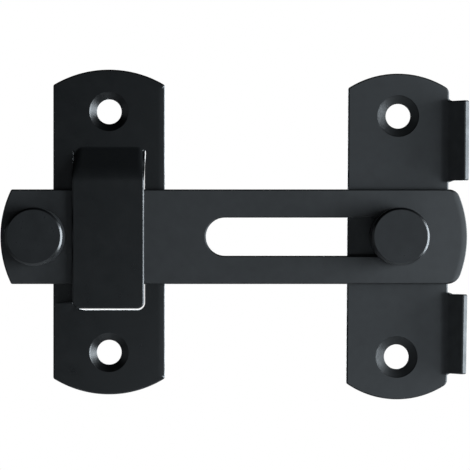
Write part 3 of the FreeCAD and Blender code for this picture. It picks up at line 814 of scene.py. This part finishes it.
@dataclass(frozen=True)
class LancedFold:
    """Plate with a hook pressed forward out of it.

    The hook's height over the plate depends on the place along it: nothing above the root, a hollow
    arc, a straight ramp and a round arc that meet tangentially, and one level below the crown. Towards
    the two lanced edges the root sinks along a quarter of an ellipse and the bends get tighter. Pairs
    hold the left side's value and the right side's. The rooms are how far past the hook's edge the slit
    still counts as hook. The bulge holds the width, the start and the full place of the right edge's.
    """

    middle: Pair
    front: float
    halves: Pair
    rooms: Pair
    foot: float
    noses: Pair
    lift: float
    root: float = 17.1
    crown: float = 10.0
    root_bend: float = 0.8
    crown_bend: float = 6.25
    side_drops: Pair = (3.1, 2.4)
    side_widths: Pair = (1.9, 1.4)
    side_root_bend: float = 0.5
    side_crown_bend: float = 2.75
    steepest: float = 0.985
    bulge: Triple = (0.05, 12.6, 15.6)
    seed_columns: int = 61
    seed_spacing: float = 0.16
    seed_inset: float = 0.1
    seed_reach: float = 0.4

    def right_edge(self, along: Array | float) -> Array:
        """How far the hook's right edge bulges out at a place along it, where the ramp was drawn."""
        width, start, full = self.bulge
        return width * np.clip((np.asarray(along) - start) / (full - start), 0.0, 1.0)

    def rise(self, plan: Array) -> Array:
        """Height of the front face over the plate's.

        Args:
            plan: Points of the blank.

        Returns:
            One height for each point.
        """
        sideways = plan[..., 0] - self.middle[0]
        along = plan[..., 1] - self.middle[1]
        half = np.where(sideways < 0.0, self.halves[0], self.halves[1] + self.right_edge(along))
        past = np.abs(sideways) - half
        width, drop = (np.where(sideways < 0.0, *pair) for pair in (self.side_widths, self.side_drops))
        part = np.clip(past / width + 1.0, 0.0, self.steepest)
        sink = 1.0 - np.sqrt(1.0 - part ** 2)
        root = self.root - drop * sink
        near = self.root_bend + (self.side_root_bend - self.root_bend) * sink
        far = self.crown_bend + (self.side_crown_bend - self.crown_bend) * sink
        run, slack = root - self.crown, self.lift - near - far
        angle = np.arctan2(slack, run) + np.arcsin((near + far) / np.hypot(run, slack))
        below, above = root - along, along - self.crown
        hollow = near - np.sqrt(np.maximum(near ** 2 - below ** 2, 0.0))
        ramp = near * (1.0 - np.cos(angle)) + (below - near * np.sin(angle)) * np.tan(angle)
        dome = self.lift - far + np.sqrt(np.maximum(far ** 2 - np.maximum(above, 0.0) ** 2, 0.0))
        stretches = [below <= 0.0, below < near * np.sin(angle), above > far * np.sin(angle)]
        return np.where(self.on_hook(plan), np.select(stretches, [0.0, hollow, ramp], dome), 0.0)

    def on_hook(self, plan: Array) -> Array:
        """Whether plan points lie on the hook or no further from it than the room on their side.

        Args:
            plan: Points of the blank.

        Returns:
            True or False for each point.
        """
        sideways = plan[..., 0] - self.middle[0]
        along = plan[..., 1] - self.middle[1]
        nose, half, room = (np.where(sideways < 0.0, *pair) for pair in (self.noses, self.halves, self.rooms))
        half = half + np.where(sideways < 0.0, 0.0, self.right_edge(along))
        past_side = np.abs(sideways) - (half - nose)
        past_foot = self.foot + nose - along
        corner = (past_side > 0.0) & (past_foot > 0.0)
        reach = np.where(corner, np.hypot(past_side, past_foot), np.maximum(past_side, past_foot))
        return reach < nose + room

    def at(self, plan: Array) -> tuple[Array, Array]:
        """Front face, with normals from central differences of the height.

        Args:
            plan: Points of the blank.

        Returns:
            Points and normals.
        """
        step = 0.004
        slopes = []
        for direction in ((step, 0.0), (0.0, step)):
            ahead, behind = self.rise(plan + direction), self.rise(plan - np.array(direction))
            slopes.append((ahead - behind) / (2 * step))
        points = np.stack([plan[..., 0], self.front - self.rise(plan), plan[..., 1]], axis=-1)
        normals = np.stack([-slopes[0], np.full(slopes[0].shape, -1.0), -slopes[1]], axis=-1)
        return points, unit(normals)

    def seeds(self) -> Array:
        """Even grid over the ramp, its bends and its shoulders, finer towards the lanced edges.

        Returns:
            Plan points, as rows.
        """
        inner = min(self.halves) - self.seed_inset
        across = inner * np.sin(np.linspace(-math.pi / 2, math.pi / 2, self.seed_columns))
        along = np.arange(self.crown - self.seed_reach, self.root + self.seed_reach, self.seed_spacing)
        return plan_grid(across, along) + np.array(self.middle)


@dataclass
class ScrewedPlate:
    """What both plates have: the box of the CAD node, the gauge and two countersunk screw holes."""

    low: Triple
    high: Triple
    holes: Sequence[Pair]
    hole_radius: float
    gauge: float = 1.25
    sink_width: float = 1.70
    sink_depth: float = 1.0

    def screw_edges(self, edge: SheetEdge) -> list[tuple[Outline, EdgeForm]]:
        """Outlines of the screw holes, each with its countersink."""
        sink = edge.sunk(self.sink_width, self.sink_depth)
        return [(Outline.round_hole(hole, self.hole_radius), sink) for hole in self.holes]


@dataclass
class CatchPlate(ScrewedPlate):
    """Screwed plate whose middle is lanced and pressed forward into the hook for the bar.

    The window is the hole that the hook leaves, measured from the plate's middle. Pairs hold the left
    side's value and the right side's. The kerfs are the slit's widths beside the hook. At the upper
    right the slit opens to the lance gap, along the lanced edge with its own roll.
    """

    sink_width: float = 1.45
    sink_depth: float = 1.05
    width: float = 22.3
    end_radii: Pair = (21.0, 21.7)
    corners: tuple[Pair, Pair] = ((0.4, 0.5), (0.4, 0.5))
    window_half: float = 7.2
    window_foot: float = 15.6
    window_corners: Pair = (2.3, 1.5)
    window_roll: float = 0.06
    kerfs: Pair = (0.03, 0.06)
    top_kerf: float = 0.02
    lance_top: float = 16.15
    hook_recess: float = 0.36
    nose_corners: Pair = (1.35, 1.35)
    hook_roll: float = 0.3
    lance_roll: float = 0.6
    lance_gap: float = 0.18
    gap_start: float = 1.5
    gap_start_share: float = 0.35
    gap_full: float = 0.3
    corner_points: int = 17

    def outlines(self) -> list[tuple[Outline, EdgeForm]]:
        """Edges of the plate: its outline, the slit round the hook and the screw holes.

        Returns:
            Each outline with the form of its edge.
        """
        edge = SheetEdge(self.gauge)
        x, z = self.middle
        arcs = strip_arcs(self.high[2] - self.low[2], self.width, self.end_radii, self.corners, True,
                          self.middle, sides=(WIDE_ROLL, ROLL))
        half = self.window_half
        left_hook, right_hook = self.hook_halves
        foot, tip = -self.window_foot, -self.window_foot + self.hook_recess
        (left, right), (left_nose, right_nose) = self.window_corners, self.nose_corners
        left_end, right_end = self.kerfs[0] / 2, self.lance_gap / 2
        crisp, rolled, drawn = self.window_roll, self.hook_roll, self.lance_roll
        count = self.corner_points
        bulge, start, full = LancedFold.bulge
        lance_x, gap_x = x + right_hook + bulge, self.lance_gap * self.gap_start_share
        slit = Outline.of_arcs(
            Arc((x - half + left, z + foot + left), -left, 180.0, 270.0, count, (crisp,)),
            Arc((x + half - right, z + foot + right), -right, 270.0, 360.0, count, (crisp,)),
            Arc.sharp((x + right_hook + self.top_kerf, z + start), 0.0, crisp, -1.0),
            Arc.sharp((lance_x + gap_x, z + full - self.gap_start), 0.0, crisp, -1.0),
            Arc.sharp((lance_x + self.lance_gap, z + full - self.gap_full), 0.0, crisp, -1.0),
            Arc((lance_x + right_end, z + self.lance_top), -right_end, 0.0, 180.0, roll=(crisp, drawn)),
            Arc.sharp((lance_x - POINT, z + full), 0.0, drawn),
            Arc.sharp((x + right_hook - POINT, z + start), 0.0, rolled),
            Arc((x + right_hook - right_nose, z + tip + right_nose), right_nose, 0.0, -90.0, count,
                (rolled,)),
            Arc((x - left_hook + left_nose, z + tip + left_nose), left_nose, -90.0, -180.0, count,
                (rolled,)),
            Arc((x - half + left_end, z + self.lance_top), -left_end, 0.0, 180.0, roll=(rolled, crisp)),
            longest=0.25,
        )
        return [(Outline.of_arcs(*arcs), edge.plain), (slit, edge.plain), *self.screw_edges(edge)]

    @property
    def middle(self) -> Pair:
        """Middle of the plate in plan."""
        return (self.low[0] + self.high[0]) / 2, (self.low[2] + self.high[2]) / 2

    @property
    def hook_halves(self) -> Pair:
        """How far the hook reaches to the left and to the right of the plate's middle."""
        return self.window_half - self.kerfs[0], self.window_half - self.kerfs[1]

    def build(self) -> bpy.types.Object:
        """Build the plate and its hook as one sheet.

        Returns:
            The finished object.
        """
        fold = LancedFold(
            middle=self.middle, front=self.high[1] - self.gauge, halves=self.hook_halves,
            rooms=(self.kerfs[0] / 2, self.top_kerf / 2), foot=self.hook_recess - self.window_foot,
            noses=self.nose_corners, lift=-self.low[1] - self.gauge)
        return SheetMetal(fold, self.gauge).build("catch_plate_sheet", self.outlines())


@dataclass(frozen=True)
class EarFold:
    """Plate whose right side is bent forward over the length of its two ears.

    Past the bend line a plan point's first number is the way along the sheet: round the bend, then
    straight up the leaf. Above and below an ear the bend dies out over the relief notch. The whole
    plate stands a little askew on the pin: its top leans to the right, and its bend line is upright.
    The lower ear mirrors the upper one and lies lower by the low drop.
    """

    front: float
    bend_line: float
    radius: float
    angle: float
    ear: Pair
    fade: Pair
    low_drop: float
    lean: float
    flattest: float = 1e-4
    seed_rows: int = 12
    seed_span: Pair = (-0.02, 1.04)
    seed_spacing: float = 0.25

    def share(self, along: Array) -> Array:
        """How much of the bend is left at a place along the plate.

        It falls from 1 on an ear to 0 away from it, as three times the square of the rest less twice its
        cube.

        Args:
            along: Places along the plate.

        Returns:
            One share for each place.
        """
        place = np.where(along > 0.0, along, -along - self.low_drop)
        outside = np.maximum((self.ear[0] - place) / self.fade[0], (place - self.ear[1]) / self.fade[1])
        part = np.clip(outside, 0.0, 1.0)
        return 1.0 - part * part * (3.0 - 2.0 * part)

    def at(self, plan: Array) -> tuple[Array, Array]:
        """Front face, with the bend's arc and its straight leaf.

        Args:
            plan: Points of the blank.

        Returns:
            Points and normals.
        """
        line = self.bend_line - plan[..., 1] * math.tan(self.lean)
        over = np.maximum(plan[..., 0] - line, 0.0)
        full = self.angle * self.share(plan[..., 1])
        radius = self.radius * self.angle / np.maximum(full, self.flattest)
        turned = np.minimum(over / radius, full)
        leaf = np.maximum(over - radius * full, 0.0)
        x = np.minimum(plan[..., 0], line) + radius * np.sin(turned) + leaf * np.cos(full)
        y = self.front - radius * (1.0 - np.cos(turned)) - leaf * np.sin(full)
        normals = np.stack([-np.sin(turned), -np.cos(turned), np.zeros(turned.shape)], axis=-1)
        cosine, sine = math.cos(self.lean), math.sin(self.lean)
        askew = np.array([[cosine, 0.0, -sine], [0.0, 1.0, 0.0], [sine, 0.0, cosine]])
        return np.stack([x, y, plan[..., 1]], axis=-1) @ askew, normals @ askew

    def seeds(self) -> Array:
        """Grid over the bends of both ears.

        Returns:
            Plan points, as rows.
        """
        across = self.bend_line + self.radius * self.angle * np.linspace(*self.seed_span, self.seed_rows)
        along = np.arange(self.ear[0] - self.fade[0], self.ear[1] + self.fade[1], self.seed_spacing)
        grid = plan_grid(across, along)
        return np.vstack([grid, grid * (1.0, -1.0) - (0.0, self.low_drop)])


@dataclass
class PivotPlate(ScrewedPlate):
    """Screwed plate that carries the pin, with two ears bent forward along its right side.

    The leaves are how far the ears reach past the bend, at the upper ear's foot and top and at the
    lower ear's top and foot. The waist is the right side between the ears. The corners are the radii at
    the right and at the left.
    """

    left: float = -10.0
    right: float = 10.15
    end_radii: Pair = (17.6, 18.4)
    corners: Pair = (1.5, 0.35)
    bend_line: float = 8.48
    bend_radius: float = 2.4
    ear_angle: float = 46.0
    leaves: tuple[float, float, float, float] = (4.05, 4.05, 3.83, 3.62)
    lean: float = 0.40
    proud: float = 0.1
    ear_start: float = 11.25
    ear_length: float = 15.9
    waist: float = 10.15
    waist_relief: float = 0.45
    ear_relief: float = 0.22
    low_ear_drop: float = 0.15
    ear_corner: float = 0.36
    end_points: int = 61
    waist_points: int = 13
    ear_points: int = 7
    bore_radius: float = 2.3
    peen_width: float = 0.9
    peen_depth: float = 0.6

    def outline(self) -> Outline:
        """Blank's outline: two end arcs, a straight left side, and the ears with their relief notches.

        Returns:
            The outline, anticlockwise.
        """
        rise = self.high[2] + self.proud
        right = self.right
        bent = self.bend_line + self.bend_radius * math.radians(self.ear_angle)
        reach = [bent + leaf for leaf in self.leaves]
        near, far = self.ear_start, self.ear_start + self.ear_length
        outer, inner = self.corners

        def end(end_radius: float, turn: float) -> list[Arc]:
            """Right corner, arc and left corner of an end.

            Args:
                end_radius: Radius of the end's arc.
                turn: 1 for the top end, -1 for the bottom end.

            Returns:
                The three arcs, anticlockwise for the top end.
            """
            centre = rise - end_radius
            places = []
            for side, radius in ((right, outer), (self.left, inner)):
                across = side - math.copysign(radius, side)
                ahead, lean = corner_on_arc(end_radius, radius, across)
                places.append((across, centre + ahead, lean))
            (right_x, right_z, right_lean), (left_x, left_z, left_lean) = places
            start, stop = turn * (90.0 - right_lean), turn * (90.0 + left_lean)
            return [Arc((right_x, turn * right_z), outer, 0.0, start),
                    Arc((0.0, turn * centre), end_radius, start, stop, self.end_points),
                    Arc((left_x, turn * left_z), inner, stop, turn * 180.0)]

        bottom = [Arc(arc.middle, arc.radius, arc.stop, arc.start, arc.count, arc.roll[::-1])
                  for arc in reversed(end(self.end_radii[0], -1.0))]
        notch, waist, tip, count = self.ear_relief, self.waist_relief, self.ear_corner, self.ear_points
        low_near, low_far = near + self.low_ear_drop, far + self.low_ear_drop
        return Outline.of_arcs(
            Arc((self.waist + waist, near - waist), -waist, 180.0, 90.0, self.waist_points),
            Arc((reach[0] - tip, near + tip), tip, -90.0, 0.0, count),
            Arc((reach[1] - tip, far - tip), tip, 0.0, 90.0, count),
            Arc((right + notch, far + notch), -notch, 270.0, 180.0),
            *end(self.end_radii[1], 1.0),
            *bottom,
            Arc((right + notch, -low_far - notch), -notch, 180.0, 90.0),
            Arc((reach[3] - tip, tip - low_far), tip, -90.0, 0.0, count),
            Arc((reach[2] - tip, -low_near - tip), tip, 0.0, 90.0, count),
            Arc((self.waist + waist, waist - low_near), -waist, 270.0, 180.0, self.waist_points),
            longest=0.3,
        )

    def build(self) -> bpy.types.Object:
        """Build the plate and its ears as one sheet.

        Returns:
            The finished object.
        """
        edge = SheetEdge(self.gauge)
        fold = EarFold(
            front=self.high[1] - self.gauge, bend_line=self.bend_line, radius=self.bend_radius,
            angle=math.radians(self.ear_angle), ear=(self.ear_start, self.ear_start + self.ear_length),
            fade=(self.waist_relief, self.ear_relief * 2), low_drop=self.low_ear_drop,
            lean=math.radians(self.lean))
        bore = Outline.round_hole((0.0, 0.0), self.bore_radius)
        edges = [(self.outline(), edge.plain), (bore, edge.flared_behind(self.peen_width, self.peen_depth)),
                 *self.screw_edges(edge)]
        return SheetMetal(fold, self.gauge).build("pivot_plate_sheet", edges)


@dataclass
class SlottedBar:
    """Flat bar with a long slot that slides and turns on the pin.

    It hangs lower than the pin by the sag and stands past its CAD node's right end by the proud length.
    The knob's setback is from its left end.
    """

    low: Triple
    high: Triple
    width: float = 18.88
    sag: float = 0.04
    proud: float = 0.2
    end_radii: Pair = (21.5, 22.0)
    corners: tuple[Pair, Pair] = ((0.4, 0.4), (2.8, 2.2))
    slot_radius: float = 3.8
    slot_right: float = 5.3
    slot_length: float = 43.6
    slot_points: int = 41
    knob_setback: float = 7.3
    hole_radius: float = 2.2
    peen_width: float = 0.9
    peen_depth: float = 0.6

    def build(self) -> bpy.types.Object:
        """Build the bar as one flat sheet.

        Returns:
            The finished object.
        """
        gauge = self.high[1] - self.low[1]
        edge = SheetEdge(gauge)
        tip = self.high[0] + self.proud
        middle = (self.low[0] + tip) / 2, -self.sag
        arcs = strip_arcs(tip - self.low[0], self.width, self.end_radii, self.corners, False, middle,
                          ends=(ROLL, WIDE_ROLL))
        right = self.slot_right - self.slot_radius
        left = self.slot_right - self.slot_length + self.slot_radius
        slot = Outline.of_arcs(
            Arc((right, -self.sag), -self.slot_radius, -90.0, 90.0, self.slot_points),
            Arc((left, -self.sag), -self.slot_radius, 90.0, 270.0, self.slot_points))
        knob_hole = Outline.round_hole((self.low[0] + self.knob_setback, 0.0), self.hole_radius)
        edges = [(Outline.of_arcs(*arcs), edge.plain), (slot, edge.plain),
                 (knob_hole, edge.flared_behind(self.peen_width, self.peen_depth))]
        return SheetMetal(FlatFold(self.low[1]), gauge).build("slotted_bar_sheet", edges)


@dataclass
class HeadedRivet:
    """Turned rivet with a tall round head: the pin, or the knob.

    The pin also has a shoulder in the bar's slot, given by its radius and by the depth of its end.
    """

    low: Triple
    high: Triple
    head_height: float = 7.5
    rim_bevel: float = 0.42
    rim_roll: float = 0.2
    foot_bevel: float = 0.25
    turned_roll: float = 0.1
    seat_roll: float = 0.05
    shank_radius: float = 2.2
    shank_roll: float = 0.03
    peen_radius: float = 3.025
    peen_depth: float = 0.55
    peen_roll: float = 0.06
    shoulder: Pair | None = None

    def build(self, name: str) -> bpy.types.Object:
        """Turn the rivet.

        Args:
            name: Name of the piece.

        Returns:
            The finished object.
        """
        radius = (self.high[0] - self.low[0]) / 2
        axis = (self.low[0] + self.high[0]) / 2, (self.low[2] + self.high[2]) / 2
        front, tail = self.low[1], self.high[1]
        seat = front + self.head_height
        throat = tail - self.peen_depth
        corners = [
            (0.0, front, 0.0),
            (radius - self.rim_bevel, front, self.rim_roll),
            (radius, front + self.rim_bevel, self.rim_roll),
            (radius, seat - self.foot_bevel, self.turned_roll),
            (radius - self.foot_bevel, seat, self.seat_roll),
        ]
        stem = seat
        if self.shoulder:
            thick, stem = self.shoulder
            corners += [(thick, seat, self.seat_roll), (thick, stem, self.turned_roll)]
        corners += [
            (self.shank_radius, stem, self.shank_roll),
            (self.shank_radius, throat, self.shank_roll),
            (self.peen_radius, tail, self.peen_roll),
            (0.0, tail, 0.0),
        ]
        flipped = rolled_section([(second, first, roll) for first, second, roll in corners])
        section = Section(flipped.points[:, ::-1], flipped.facing[:, ::-1])
        return turned_piece(name, section, axis)


@dataclass(frozen=True)
class Lamp:
    """Soft rectangular lamp that looks at the middle of the latch from a given direction.

    The azimuth counts from straight in front towards the right, the elevation upwards, in degrees. The
    distance, the width, the height and the aim are in metres. A lamp's power is pi times its area times
    its radiance.
    """

    name: str
    azimuth: float
    elevation: float
    distance: float
    width: float
    height: float
    radiance: float
    colour: Triple = (0.90, 1.0, 1.08)
    aim: Triple = (-0.0325, 0.0, 0.0)

    def hang(self) -> None:
        """Put the lamp in the scene."""
        turn, lift = math.radians(self.azimuth), math.radians(self.elevation)
        away = Vector((math.sin(turn) * math.cos(lift), -math.cos(turn) * math.cos(lift), math.sin(lift)))
        data = bpy.data.lights.new(self.name, "AREA")
        data.shape = "RECTANGLE"
        data.size, data.size_y = self.width, self.height
        data.color = self.colour
        data.energy = math.pi * self.width * self.height * self.radiance
        lamp = bpy.data.objects.new(self.name, data)
        lamp.location = Vector(self.aim) + away * self.distance
        lamp.rotation_euler = away.to_track_quat("Z", "Y").to_euler()
        bpy.context.scene.collection.objects.link(lamp)


@dataclass(frozen=True)
class Studio:
    """White studio: pale floor, white surround, soft lamps mostly from the right, and the camera.

    The floor's and the lamps' sizes are in metres, the camera's in millimetres.
    """

    lamps: Sequence[Lamp]
    surround: float = 0.004
    floor_drop: float = 0.45
    floor_reach: float = 2.6
    floor_corners: int = 96
    floor_colour: tuple[float, ...] = (0.86, 0.86, 0.86, 1.0)
    floor_roughness: float = 0.9
    floor_paleness: float = 0.72
    camera_distance: float = 430.0
    camera_aim: Pair = (-32.49, 0.30)
    camera_range: Pair = (0.01, 50.0)
    plate_front: float = -1.25
    view_width: float = 94.0
    sensor: float = 36.0

    def light(self) -> None:
        """Hang the lamps and set the surround: white to the camera, dimmer to the latch."""
        for lamp in self.lamps:
            lamp.hang()
        world = bpy.data.worlds.new("white_surround")
        bpy.context.scene.world = world
        world.use_nodes = True
        shader = Shader(world.node_tree)
        dim, white = (shader.node("ShaderNodeBackground", {}, {"Color": WHITE, "Strength": strength})
                      for strength in (self.surround, 1.0))
        shader.node("ShaderNodeOutputWorld", {}, {"Surface": shader.seen_and_lit(white, dim)})

    def lay_floor(self) -> None:
        """Lay a round pale floor well below the latch. The camera sees it paler than it lights the latch."""
        turns = np.linspace(0.0, FULL_TURN, self.floor_corners, endpoint=False)
        rim = np.stack([np.cos(turns), np.sin(turns)], axis=-1) * self.floor_reach
        mesh = bpy.data.meshes.new("floor")
        mesh.from_pydata([(x, y, -self.floor_drop) for x, y in rim.tolist()], [], [range(self.floor_corners)])
        floor = bpy.data.objects.new("floor", mesh)
        bpy.context.scene.collection.objects.link(floor)
        made = bpy.data.materials.new("pale_floor")
        made.use_nodes = True
        shader = Shader(made.node_tree)
        plain, pale = (shader.node(
            "ShaderNodeBsdfPrincipled", {},
            {"Base Color": self.floor_colour, "Roughness": self.floor_roughness, "Emission Color": WHITE,
             "Emission Strength": glow}, "BSDF") for glow in (0.0, self.floor_paleness))
        shader.node("ShaderNodeOutputMaterial", {}, {"Surface": shader.seen_and_lit(pale, plain)})
        mesh.materials.append(made)

    def place_camera(self) -> None:
        """Put the camera square in front of the latch, as far off as the photograph's perspective says."""
        data = bpy.data.cameras.new("front_camera")
        data.sensor_width = self.sensor
        data.lens = self.sensor * self.camera_distance / self.view_width
        data.clip_start, data.clip_end = self.camera_range
        camera = bpy.data.objects.new("front_camera", data)
        camera.location = (self.camera_aim[0] * MM, (self.plate_front - self.camera_distance) * MM,
                           self.camera_aim[1] * MM)
        camera.rotation_euler = (math.pi / 2, 0.0, 0.0)
        bpy.context.scene.collection.objects.link(camera)
        bpy.context.scene.camera = camera


def node_box(node: str) -> tuple[Triple, Triple]:
    """Lowest and highest corner of a CAD node, in millimetres."""
    low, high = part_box(node)
    return tuple(value / MM for value in low), tuple(value / MM for value in high)


def screw_holes(record: dict[str, Any], mount: str, coat: float = 0.08) -> tuple[list[Pair], float]:
    """Screw holes of a plate, from the record's mount, narrowed by their coat.

    Args:
        record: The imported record.
        mount: Name of the plate's screw pattern.
        coat: Thickness of the film in the holes, in millimetres.

    Returns:
        The holes' plan points, and their radius, in millimetres.
    """
    found = next(item for item in record["mounts"] if item["name"] == mount)
    x, _, z = (value / MM for value in found["pos_m"])
    reach = found["dims"]["spacing_y_mm"] / 2
    return [(x, z + reach), (x, z - reach)], found["dims"]["hole_r_mm"] - coat


def dress(piece: bpy.types.Object, node: str, body: str, material: bpy.types.Material) -> None:
    """Give a piece its finish and let it stand for its CAD node.

    Args:
        piece: The finished piece.
        node: CAD node that it replaces.
        body: Body that it rides on.
        material: Its finish.
    """
    piece.data.materials.clear()
    piece.data.materials.append(material)
    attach(piece, body)
    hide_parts(node)
    log.info("%s stands for %s: %d vertices, %d faces", piece.name, node, len(piece.data.vertices),
             len(piece.data.polygons))


def main() -> None:
    """Build the latch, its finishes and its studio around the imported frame."""
    logging.basicConfig(level=logging.INFO, format="%(name)s: %(message)s")
    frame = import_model()
    record = frame["record"]

    # The same black coat is given a colour per piece: the catch plate's is darker as painted shade and the
    # bar's lighter as painted light, so that each piece keeps the tone that the lamps give it.
    catch_coat_painted_dark = BlackCoat(colour=(0.0105, 0.0113, 0.0118), roughness=0.35,
                           unevenness=0.30).material("catch_powder_coat")
    pivot_coat = BlackCoat(colour=(0.0275, 0.0290, 0.0302), roughness=0.54).material("pivot_powder_coat")
    bar_coat_painted_light = BlackCoat(colour=(0.0330, 0.0342, 0.0352), roughness=0.54).material("bar_powder_coat")
    rivet_coat = BlackCoat(colour=(0.0270, 0.0280, 0.0290), roughness=0.30,
                           grain_depth=0.001, unevenness=0.08).material("rivet_coat")

    catch_holes, catch_radius = screw_holes(record, "catch_plate_screws")
    pivot_holes, pivot_radius = screw_holes(record, "pivot_plate_screws")
    catch = CatchPlate(*node_box("catch_plate"), holes=catch_holes, hole_radius=catch_radius)
    dress(catch.build(), "catch_plate", "keeper", catch_coat_painted_dark)
    pivot = PivotPlate(*node_box("pivot_plate"), holes=pivot_holes, hole_radius=pivot_radius)
    dress(pivot.build(), "pivot_plate", "door_plate", pivot_coat)
    bar = SlottedBar(*node_box("slotted_bar"))
    dress(bar.build(), "slotted_bar", "bar", bar_coat_painted_light)
    shoulder_radius, shoulder_end = 3.68, -1.3
    pin = HeadedRivet(*node_box("pivot_pin"), shoulder=(shoulder_radius, shoulder_end))
    dress(pin.build("pivot_pin_turned"), "pivot_pin", "pin", rivet_coat)
    knob = HeadedRivet(*node_box("knob"))
    dress(knob.build("knob_turned"), "knob", "bar", rivet_coat)

    # Each lamp's name, azimuth, elevation, distance, width, height and radiance.
    studio = Studio(lamps=(
        Lamp("low_front_softbox", 6.0, -25.0, 0.35, 0.15, 0.15, 1.25),
        Lamp("front_softbox", 5.0, 0.0, 0.35, 0.15, 0.15, 0.30),
        Lamp("right_softbox", 50.0, -2.0, 0.35, 0.15, 0.16, 8.4),
        Lamp("far_right_softbox", 65.0, 0.0, 0.35, 0.15, 0.15, 3.6),
        Lamp("side_softbox", 83.0, -3.0, 0.35, 0.14, 0.34, 21.0),
        Lamp("left_reflector", -72.0, 0.0, 0.50, 0.60, 0.35, 0.28),
        Lamp("rear_softbox", 175.0, 4.0, 0.70, 0.60, 0.40, 6.0),
    ))
    studio.light()
    studio.lay_floor()
    studio.place_camera()
    bpy.context.scene.view_settings.view_transform = "Standard"


if __name__ == "__main__":
    main()
